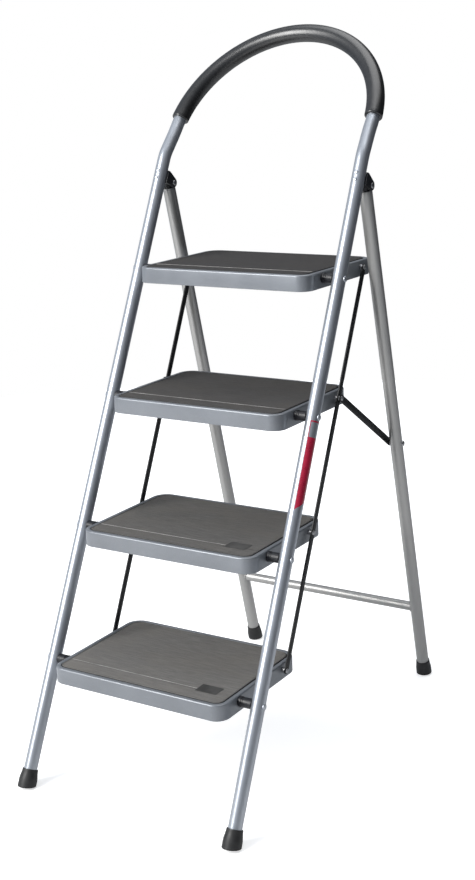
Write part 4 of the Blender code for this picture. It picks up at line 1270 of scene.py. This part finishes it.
class LADDER_OT_mats(Operator):
    """Lays the ribbed rubber mats into the treads"""

    bl_idname = "ladder.mats"
    bl_label = "Mats"

    def execute(self, context):
        s = context.scene.ladder_treads
        edge = s.rim + s.recess / 2 + GAP
        outer = edge + s.mat_skirt
        floor = s.rise - s.recess + GAP
        top = floor + s.mat_thickness
        field = top - s.rib_height
        inner = outer + s.mat_border
        profile = [
            (outer, floor),
            (outer, top - 0.0006),
            (outer + 0.0002, top - 0.0002),
            (outer + 0.0006, top),
            (inner - 0.0002, top),
            (inner, top - 0.0002),
            (inner + 0.0002, field),
        ]
        rubber = finish_of("Mat Rubber")
        for number in TREADS:
            centre = tread_pivot(number)
            mesh = bmesh.new()
            stacked(mesh, centre, profile, s)
            places, line_y = rib_places(number, s, inner + 0.0004)
            half = middle("tread_1").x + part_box("tread_1")[1].x - inner - 0.0006
            across = half if number not in PATCHED_TREADS else PATCH_X[0] - CLEAR_OF_PATCH
            height = centre.z + field
            name = f"tread_mat_rubber_{number}"
            base = linked("mat_base", finished_data(mesh, "mat_base", rubber))
            ribs = mat_ribs(places, height, s, rubber)
            mat = merged(name, [base, ribs], rubber, math.radians(45))
            settle(mat, f"tread_{number}", [f"tread_mat_{number}"])
            # a near-black sheet in the gap round the mat, painted shade
            skirt = bmesh.new()
            stacked(skirt, centre, [(edge, floor), (edge, floor + 0.0003), (outer + 0.0004, floor + 0.0006)], s)
            piece(skirt, f"mat_skirt_{number}", finish_of("Mat Skirt"), f"tread_{number}", [])
            # the raised line across the mat is real; its lighter colour is a painted highlight
            strip = bmesh.new()
            bar = [Vector((-half, line_y + y, height + z)) for y, z in LINE_SECTION]
            pushed_outline(strip, bar, RIGHT * (half + across))
            piece(strip, f"mat_line_{number}", finish_of("Mat Line"), f"tread_{number}", [])
            if number in PATCHED_TREADS:
                patch = mat_patch(centre.y, height)
                piece(patch, f"mat_patch_{number}", finish_of("Mat Patch"), f"tread_{number}", [])
        return {"FINISHED"}


def bar_outline(x, start, end, width, steps=18):
    along = (end - start).normalized()
    across = RIGHT.cross(along)
    points = []
    for centre, first in ((end, 90), (start, 270)):
        for step in range(steps + 1):
            a = math.radians(first - 180 * step / steps)
            points.append(centre + (along * math.cos(a) + across * math.sin(a)) * width / 2 + RIGHT * x)
    return points


LINK_BAR_WIDTH = 0.012
BRACE_WIDTH = 0.014


def flat_bar(name, node, side, start, end, width):
    """A flat bar with round ends, as thick as its CAD node, on the body that has the node's name."""
    inner, outer = span(node)
    mesh = bmesh.new()
    pushed_outline(mesh, bar_outline(side * inner, start, end, width), RIGHT * side * (outer - inner))
    bar = linked(name, finished_data(mesh, name, finish_of("Bar Paint")))
    bevel = bar.modifiers.new("edges", "BEVEL")
    bevel.width = bpy.context.scene.ladder_hardware.bar_edge
    bevel.segments = 3
    bevel.limit_method = "ANGLE"
    bevel.angle_limit = math.radians(50)
    plain_mesh(bar, name, finish_of("Bar Paint"))
    return settle(bar, node, [node])


class LADDER_OT_bars(Operator):
    """Cuts the link bars and the braces from flat bar"""

    bl_idname = "ladder.bars"
    bl_label = "Link bars and braces"

    def execute(self, context):
        for label, side in SIDES.items():
            top, bottom = link_pivot(TREADS[-1]), link_pivot(TREADS[0])
            flat_bar(f"link_bar_flat_{label}", f"link_bar_{label}", side, bottom, top, LINK_BAR_WIDTH)
            brace_top = link_pivot(BRACED_TREAD)
            flat_bar(f"brace_flat_{label}", f"brace_{label}", side, brace_top, BRACE_BOLT, BRACE_WIDTH)
        return {"FINISHED"}


BUSH_EXTRA = 0.0018  # how much fuller the moulding is than its plain core
BUSH_BORE = 0.004


class LADDER_OT_bushes(Operator):
    """Turns the plastic bushes beside the treads"""

    bl_idname = "ladder.bushes"
    bl_label = "Tread bushes"

    def execute(self, context):
        mesh = bmesh.new()
        nodes = []
        for side_name, side in SIDES.items():
            for number in TREADS:
                node = f"tread_bush_{number}_{side_name}"
                nodes.append(node)
                low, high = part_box(node)
                long = high.x - low.x
                start = RIGHT * side * span(node)[0] + tread_pivot(number)
                radius = (high.z - low.z) / 2 + BUSH_EXTRA
                profile = [
                    (0.0, BUSH_BORE),
                    (0.0, radius - 0.0006),
                    (0.0006, radius),
                    (long * 0.62, radius),
                    (long * 0.66, radius - 0.0009),
                    (long - 0.0006, radius - 0.0009),
                    (long, radius - 0.0015),
                    (long, BUSH_BORE),
                ]
                turned_ring(mesh, start, RIGHT * side, profile)
        piece(mesh, "tread_bushes", finish_of("Bracket Plastic"), "front_frame", nodes)
        return {"FINISHED"}


# Radii
PIN_SHANK = 0.0037
LEG_PIN_SHANK = 0.003
SLEEVE_BORE = 0.0039
RIVET_SHANK = 0.0027
COLLAR = 0.0050
NUT = 0.0045
SPACER_BORE, SPACER = 0.003, 0.006
# Heights of the heads
TREAD_PIN_HEAD = 0.0018
LEG_PIN_HEAD = 0.0018
STILE_HEAD = 0.0012
BRACKET_HEAD = 0.0010
LINK_HEAD = 0.0016
BRACE_HEAD = 0.0012
BOLT_HEAD = 0.0026
# Skirts under the heads, which reach down to a round face
FLAT_SKIRT = 0.0002
BRACE_SKIRT = 0.0004
BRACKET_SKIRT = 0.0007
STILE_SKIRT = 0.0015
BOLT_SKIRT = 0.0016
# Other lengths
CHAMFER = 0.0003
NUT_HEIGHT = 0.0020
SLEEVE_INTO_STILE = 0.0012
SPACER_INTO_LEG = 0.001
INSIDE_FLANGE = 0.0015  # from a tread's outer face in to its pins' inner heads


class LADDER_OT_hardware(Operator):
    """Sets every pin, rivet, bolt and spacer, one mesh for each body"""

    bl_idname = "ladder.hardware"
    bl_label = "Pins, rivets and bolts"

    def execute(self, context):
        self.front_frame(context)
        self.treads(context)
        self.rear_frame(context)
        self.braces(context)
        return {"FINISHED"}

    def front_frame(self, context):
        sizes, tubes = context.scene.ladder_hardware, context.scene.ladder_tubes
        steel = finish_of("Rivet Steel")
        shanks, sleeves = bmesh.new(), bmesh.new()
        outer_heads, inner_heads, leg_heads, bracket_heads, nodes = [], [], [], [], []
        for label, side in SIDES.items():
            for number in TREADS:
                node = f"tread_pin_{number}_{label}"
                nodes.append(node)
                pivot = tread_pivot(number)
                stile = stile_x(pivot.z)
                sleeve_start = span(f"tread_bush_{number}_{label}")[1] + GAP
                sleeve_end = stile - tubes.radius + SLEEVE_INTO_STILE
                tread_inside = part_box("tread_1")[1].x - INSIDE_FLANGE
                radius = sizes.pin_sleeve_radius
                shank = [(tread_inside, PIN_SHANK), (stile + tubes.radius, PIN_SHANK)]
                turned_body(shanks, pivot, RIGHT * side, shank)
                profile = [
                    (sleeve_start, SLEEVE_BORE),
                    (sleeve_start, radius - 0.0005),
                    (sleeve_start + 0.0005, radius),
                    (sleeve_end, radius),
                    (sleeve_end, SLEEVE_BORE),
                ]
                turned_ring(sleeves, pivot, RIGHT * side, profile)
                outer_heads.append((pivot + RIGHT * side * (stile + tubes.radius + GAP), RIGHT * side))
                inner_heads.append((pivot + RIGHT * side * tread_inside, -RIGHT * side))
            for number in (1, 2):
                node = f"bracket_rivet_{number}_{label}"
                nodes.append(node)
                point = middle(node)
                along = (point - LEG_PIVOT).dot(stile_up())
                on_line = LEG_PIVOT - stile_back() * STILE_LINE_AHEAD + stile_up() * along
                on_line.x = side * stile_x(on_line.z)
                bracket_heads.append((on_line - stile_back() * (tubes.radius + GAP), -stile_back()))
                bracket_heads.append((on_line + stile_back() * (BRACKET_SEAT + GAP), stile_back()))
            low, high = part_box(f"leg_pin_{label}")
            nodes.append(f"leg_pin_{label}")
            half = (high.x - low.x) / 2 - LEG_PIN_HEAD
            centre = LEG_PIVOT + RIGHT * side * BRACKET_X
            turned_body(shanks, centre, RIGHT, [(-half, LEG_PIN_SHANK), (half, LEG_PIN_SHANK)], 24)
            leg_heads += [(centre + RIGHT * half * way, RIGHT * way) for way in (-1.0, 1.0)]
        parts = [
            linked("shanks", finished_data(shanks, "shanks", steel)),
            heads_piece("inner_heads", inner_heads, sizes.pin_head_radius, TREAD_PIN_HEAD, steel, FLAT_SKIRT),
            heads_piece("leg_heads", leg_heads, sizes.leg_head_radius, LEG_PIN_HEAD, steel, FLAT_SKIRT),
        ]
        settle(merged("front_frame_pins", parts, steel), "front_frame", nodes)
        painted = finish_of("Stile Paint")
        parts = [
            heads_piece("outer_heads", outer_heads, sizes.pin_head_radius, STILE_HEAD, painted, STILE_SKIRT),
            heads_piece(
                "bracket_heads", bracket_heads, sizes.bracket_head_radius, BRACKET_HEAD, painted, BRACKET_SKIRT
            ),
        ]
        settle(merged("painted_rivet_heads", parts, painted), "front_frame", [])
        piece(sleeves, "pin_sleeves", finish_of("Bracket Plastic"), "front_frame", [])

    def treads(self, context):
        sizes, steel = context.scene.ladder_hardware, finish_of("Rivet Steel")
        for number in TREADS:
            pivot = link_pivot(number)
            shanks = bmesh.new()
            outer, inner, nodes = [], [], []
            for label, side in SIDES.items():
                nodes.append(f"link_rivet_{number}_{label}")
                bar_inner, bar_outer = span(f"link_bar_{label}")
                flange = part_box("tread_1")[1].x
                profile = [
                    (flange - INSIDE_FLANGE, RIVET_SHANK),
                    (flange + GAP, RIVET_SHANK),
                    (flange + GAP, COLLAR - CHAMFER),
                    (flange + GAP + CHAMFER, COLLAR),
                    (bar_inner - GAP - CHAMFER, COLLAR),
                    (bar_inner - GAP, COLLAR - CHAMFER),
                    (bar_inner - GAP, RIVET_SHANK),
                    (bar_outer + GAP, RIVET_SHANK),
                ]
                turned_body(shanks, pivot, RIGHT * side, profile, 32)
                outer.append((pivot + RIGHT * side * (bar_outer + GAP), RIGHT * side))
                inner.append((pivot + RIGHT * side * (flange - INSIDE_FLANGE), -RIGHT * side))
            parts = [
                linked("shanks", finished_data(shanks, "shanks", steel)),
                heads_piece("outer", outer, sizes.link_head_radius, LINK_HEAD, steel, FLAT_SKIRT),
                heads_piece("inner", inner, sizes.link_head_radius, LINK_HEAD, steel, FLAT_SKIRT),
            ]
            settle(merged(f"link_rivets_{number}", parts, steel), f"tread_{number}", nodes)

    def rear_frame(self, context):
        sizes, tubes = context.scene.ladder_hardware, context.scene.ladder_tubes
        steel = finish_of("Rivet Steel")
        shanks = bmesh.new()
        heads, nodes = [], []
        distance = (BRACE_BOLT - LEG_PIVOT).dot(LEG_DOWN)
        for label, side in SIDES.items():
            nodes += [f"brace_bolt_{label}", f"brace_spacer_{label}"]
            nut = span(f"brace_{label}")[0] - GAP
            outside = abs(leg_point(side, distance).x) + tubes.radius + GAP
            profile = [
                (nut - NUT_HEIGHT, NUT - 0.0005),
                (nut - NUT_HEIGHT + CHAMFER, NUT),
                (nut, NUT),
                (nut, RIVET_SHANK),
                (outside, RIVET_SHANK),
            ]
            turned_body(shanks, BRACE_BOLT, RIGHT * side, profile, 30)
            start, end = span(f"brace_spacer_{label}")
            end += SPACER_INTO_LEG
            profile = [
                (start, SPACER_BORE),
                (start, SPACER - CHAMFER),
                (start + CHAMFER, SPACER),
                (end, SPACER),
                (end, SPACER_BORE),
            ]
            turned_ring(shanks, BRACE_BOLT, RIGHT * side, profile, 32)
            heads.append((BRACE_BOLT + RIGHT * side * outside, RIGHT * side))
        parts = [
            linked("shanks", finished_data(shanks, "shanks", steel)),
            heads_piece("heads", heads, sizes.bolt_head_radius, BOLT_HEAD, steel, BOLT_SKIRT, fullness=0.7),
        ]
        settle(merged("brace_bolts", parts, steel), "rear_frame", nodes)

    def braces(self, context):
        sizes, steel = context.scene.ladder_hardware, finish_of("Rivet Steel")
        pivot = link_pivot(BRACED_TREAD)
        for label, side in SIDES.items():
            outside = span(f"brace_{label}")[1] + GAP
            places = [(pivot + RIGHT * side * outside, RIGHT * side)]
            name = f"brace_rivet_head_{label}"
            rivet = heads_piece(name, places, sizes.link_head_radius, BRACE_HEAD, steel, BRACE_SKIRT)
            settle(rivet, f"brace_{label}", [f"brace_rivet_{label}"])


FILM_LOW, FILM_SOLID_TOP, FILM_TOP = 0.538, 0.645, 0.673  # heights; only an outline above the solid part
FILM_THICKNESS = 0.00012
FILM_FACING = math.radians(66)  # from the front round to the right
FILM_START, FILM_TURN = math.radians(-52), math.radians(116)
FILM_SLANT = 0.019  # from one side of the bottom edge to the other


class LADDER_OT_colour_band(Operator):
    """Wraps a plain strip of coloured film round part of the right stile"""

    bl_idname = "ladder.colour_band"
    bl_label = "Colour band"

    def execute(self, context):
        tubes = context.scene.ladder_tubes
        low, high = FILM_LOW, FILM_TOP
        up = (stile_point(1.0, high) - stile_point(1.0, low)).normalized()
        facing = Vector((math.sin(FILM_FACING), -math.cos(FILM_FACING), 0.0))
        facing = (facing - up * facing.dot(up)).normalized()
        across = up.cross(facing)
        radius = tubes.radius + FILM_THICKNESS
        mesh = bmesh.new()
        columns, rows = 20, 60
        grid = []
        for i in range(rows + 1):
            share = i / rows
            row = []
            for j in range(columns + 1):
                turn = FILM_START + FILM_TURN * j / columns
                cut = 0.0 if share > 0.5 else FILM_SLANT * (j / columns - 0.5) * (1 - 2 * share)
                centre = stile_point(1.0, low + (high - low) * share + cut)
                outward = facing * math.cos(turn) + across * math.sin(turn)
                row.append(mesh.verts.new(centre + outward * radius))
            grid.append(row)
        outline = int(rows * (FILM_SOLID_TOP - low) / (high - low))
        for i, (lower, upper) in enumerate(zip(grid, grid[1:])):
            for j in range(columns):
                if not (outline < i < rows - 1 and 0 < j < columns - 1):
                    mesh.faces.new((lower[j], lower[j + 1], upper[j + 1], upper[j]))
        bmesh.ops.recalc_face_normals(mesh, faces=mesh.faces)
        if mesh.faces[:][0].normal.dot(facing) < 0:
            bmesh.ops.reverse_faces(mesh, faces=mesh.faces)
        data = bpy.data.meshes.new("stile_band")
        mesh.to_mesh(data)
        mesh.free()
        data.materials.append(finish_of("Colour Band"))
        data.shade_smooth()
        settle(linked("stile_band", data), "front_frame", [])
        return {"FINISHED"}


# Stage


FLOOR_RADIUS = 3.2
FLOOR_BELOW = 0.0004  # under the soles
FLOOR_GLOW = (0.8, 2.8, 0.62, 1.0)  # between these distances, between these strengths
FILL_AIM = (-0.75, -0.6, 0.25)  # where the fill light is strongest
FILL_RANGE = (-0.5, 0.9, 0.05, 0.62)
LIGHT_TARGET = (0.0, 0.0, 0.7)
CAMERA_PLACE = (1.40988, -2.22167, 1.28928)
CAMERA_AZIMUTH, CAMERA_ELEVATION, CAMERA_ROLL = 32.816, 13.798, -2.135  # degrees


def set_range(node, numbers):
    for key, number in zip((1, 2, 3, 4), numbers):
        node.inputs[key].default_value = number


def soft_box(name, place, width, height, power, colour):
    light = bpy.data.lights.new(name, "AREA")
    light.shape = "RECTANGLE"
    light.size = width
    light.size_y = height
    light.energy = power
    light.color = colour
    lamp = linked(name, light)
    turned = (Vector(LIGHT_TARGET) - Vector(place)).to_track_quat("-Z", "Y").to_matrix().to_4x4()
    lamp.matrix_world = Matrix.Translation(place) @ turned


def floor_finish():
    made = bpy.data.materials.new("Studio Floor")
    made.use_nodes = True
    nodes, links = made.node_tree.nodes, made.node_tree.links
    shader = nodes["Principled BSDF"]
    shader.inputs["Base Color"].default_value = (0.82, 0.82, 0.82, 1.0)
    shader.inputs["Roughness"].default_value = 0.9
    shader.inputs["Specular IOR Level"].default_value = 0.1
    shader.inputs["Emission Color"].default_value = (1.0, 1.0, 1.0, 1.0)
    place = nodes.new("ShaderNodeTexCoord")
    distance = nodes.new("ShaderNodeVectorMath")
    distance.operation = "LENGTH"
    glow = nodes.new("ShaderNodeMapRange")
    set_range(glow, FLOOR_GLOW)
    links.new(place.outputs["Object"], distance.inputs[0])
    links.new(distance.outputs["Value"], glow.inputs[0])
    ray = nodes.new("ShaderNodeLightPath")
    seen = nodes.new("ShaderNodeMath")
    seen.operation = "MULTIPLY"
    links.new(glow.outputs[0], seen.inputs[0])
    links.new(ray.outputs["Is Camera Ray"], seen.inputs[1])
    links.new(seen.outputs[0], shader.inputs["Emission Strength"])
    return made


class LADDER_OT_stage(Operator):
    """Sets up the pale floor, soft light and camera"""

    bl_idname = "ladder.stage"
    bl_label = "Stage"

    def execute(self, context):
        self.floor()
        self.lights(context)
        self.camera(context)
        return {"FINISHED"}

    def floor(self):
        mesh = bmesh.new()
        bmesh.ops.create_circle(mesh, cap_ends=True, segments=128, radius=FLOOR_RADIUS)
        for vertex in mesh.verts:
            vertex.co.z = -FLOOR_BELOW
        data = bpy.data.meshes.new("studio_floor")
        mesh.to_mesh(data)
        mesh.free()
        data.materials.append(floor_finish())
        linked("studio_floor", data)

    def lights(self, context):
        world = bpy.data.worlds.new("Studio")
        world.use_nodes = True
        context.scene.world = world
        nodes, links = world.node_tree.nodes, world.node_tree.links
        backdrop = nodes["Background"]
        backdrop.inputs["Color"].default_value = (1.0, 1.0, 1.0, 1.0)
        backdrop.inputs["Strength"].default_value = 1.0
        fill = nodes.new("ShaderNodeBackground")
        fill.inputs["Color"].default_value = (0.80, 0.88, 1.0, 1.0)
        direction = nodes.new("ShaderNodeTexCoord")
        aim = nodes.new("ShaderNodeVectorMath")
        aim.operation = "DOT_PRODUCT"
        aim.inputs[1].default_value = FILL_AIM
        share = nodes.new("ShaderNodeMapRange")
        set_range(share, FILL_RANGE)
        links.new(direction.outputs["Generated"], aim.inputs[0])
        links.new(aim.outputs["Value"], share.inputs[0])
        links.new(share.outputs[0], fill.inputs["Strength"])
        ray = nodes.new("ShaderNodeLightPath")
        mix = nodes.new("ShaderNodeMixShader")
        links.new(ray.outputs["Is Camera Ray"], mix.inputs[0])
        links.new(fill.outputs[0], mix.inputs[1])
        links.new(backdrop.outputs[0], mix.inputs[2])
        links.new(mix.outputs[0], nodes["World Output"].inputs["Surface"])
        soft_box("key_box", (-1.45, -2.75, 2.35), 1.5, 2.4, 150.0, (1.0, 0.99, 0.97))
        soft_box("top_box", (0.2, 0.6, 3.4), 2.4, 2.4, 45.0, (1.0, 1.0, 1.0))
        context.scene.view_settings.view_transform = "Standard"

    def camera(self, context):
        angles = (CAMERA_AZIMUTH, CAMERA_ELEVATION, CAMERA_ROLL)
        azimuth, elevation, roll = (math.radians(degrees) for degrees in angles)
        flat = math.cos(elevation)
        back = Vector((math.sin(azimuth) * flat, -math.cos(azimuth) * flat, math.sin(elevation)))
        level = Vector((math.cos(azimuth), math.sin(azimuth), 0.0))
        above = back.cross(level)
        right = level * math.cos(roll) + above * math.sin(roll)
        up = above * math.cos(roll) - level * math.sin(roll)
        data = bpy.data.cameras.new("camera")
        data.sensor_width = 36.0
        data.lens = 58.42
        data.shift_x = 0.0183
        data.shift_y = -0.0276
        data.clip_end = 100.0
        camera = linked("camera", data)
        turned = Matrix((right, up, back)).transposed().to_4x4()
        camera.matrix_world = Matrix.Translation(CAMERA_PLACE) @ turned
        context.scene.camera = camera


STEPS = (
    LADDER_OT_stage,
    LADDER_OT_front_frame,
    LADDER_OT_grip,
    LADDER_OT_rear_legs,
    LADDER_OT_cross_tube,
    LADDER_OT_feet,
    LADDER_OT_brackets,
    LADDER_OT_treads,
    LADDER_OT_mats,
    LADDER_OT_bars,
    LADDER_OT_bushes,
    LADDER_OT_hardware,
    LADDER_OT_colour_band,
)
SETTINGS = {
    "ladder_tubes": TubeSettings,
    "ladder_treads": TreadSettings,
    "ladder_hardware": HardwareSettings,
    "ladder_finish": FinishSettings,
}


class LADDER_PT_panel(Panel):
    """Lists the ladder's pieces in the order they are made"""

    bl_idname = "LADDER_PT_panel"
    bl_label = "Platform Step Ladder"
    bl_space_type = "VIEW_3D"
    bl_region_type = "UI"
    bl_category = "Ladder"

    def draw(self, context):
        column = self.layout.column()
        for step in STEPS:
            column.operator(step.bl_idname)
        for name, group in SETTINGS.items():
            box = self.layout.box()
            settings = getattr(context.scene, name)
            for key in group.__annotations__:
                box.prop(settings, key)


def register():
    for name, group in SETTINGS.items():
        bpy.utils.register_class(group)
        setattr(bpy.types.Scene, name, PointerProperty(type=group))
    for step in STEPS:
        bpy.utils.register_class(step)
    bpy.utils.register_class(LADDER_PT_panel)


def unregister():
    bpy.utils.unregister_class(LADDER_PT_panel)
    for step in reversed(STEPS):
        bpy.utils.unregister_class(step)
    for name, group in SETTINGS.items():
        delattr(bpy.types.Scene, name)
        bpy.utils.unregister_class(group)


def main():
    register()
    for step in STEPS:
        family, name = step.bl_idname.split(".")
        getattr(getattr(bpy.ops, family), name)()
    bpy.context.view_layer.update()


if __name__ == "__main__":
    main()
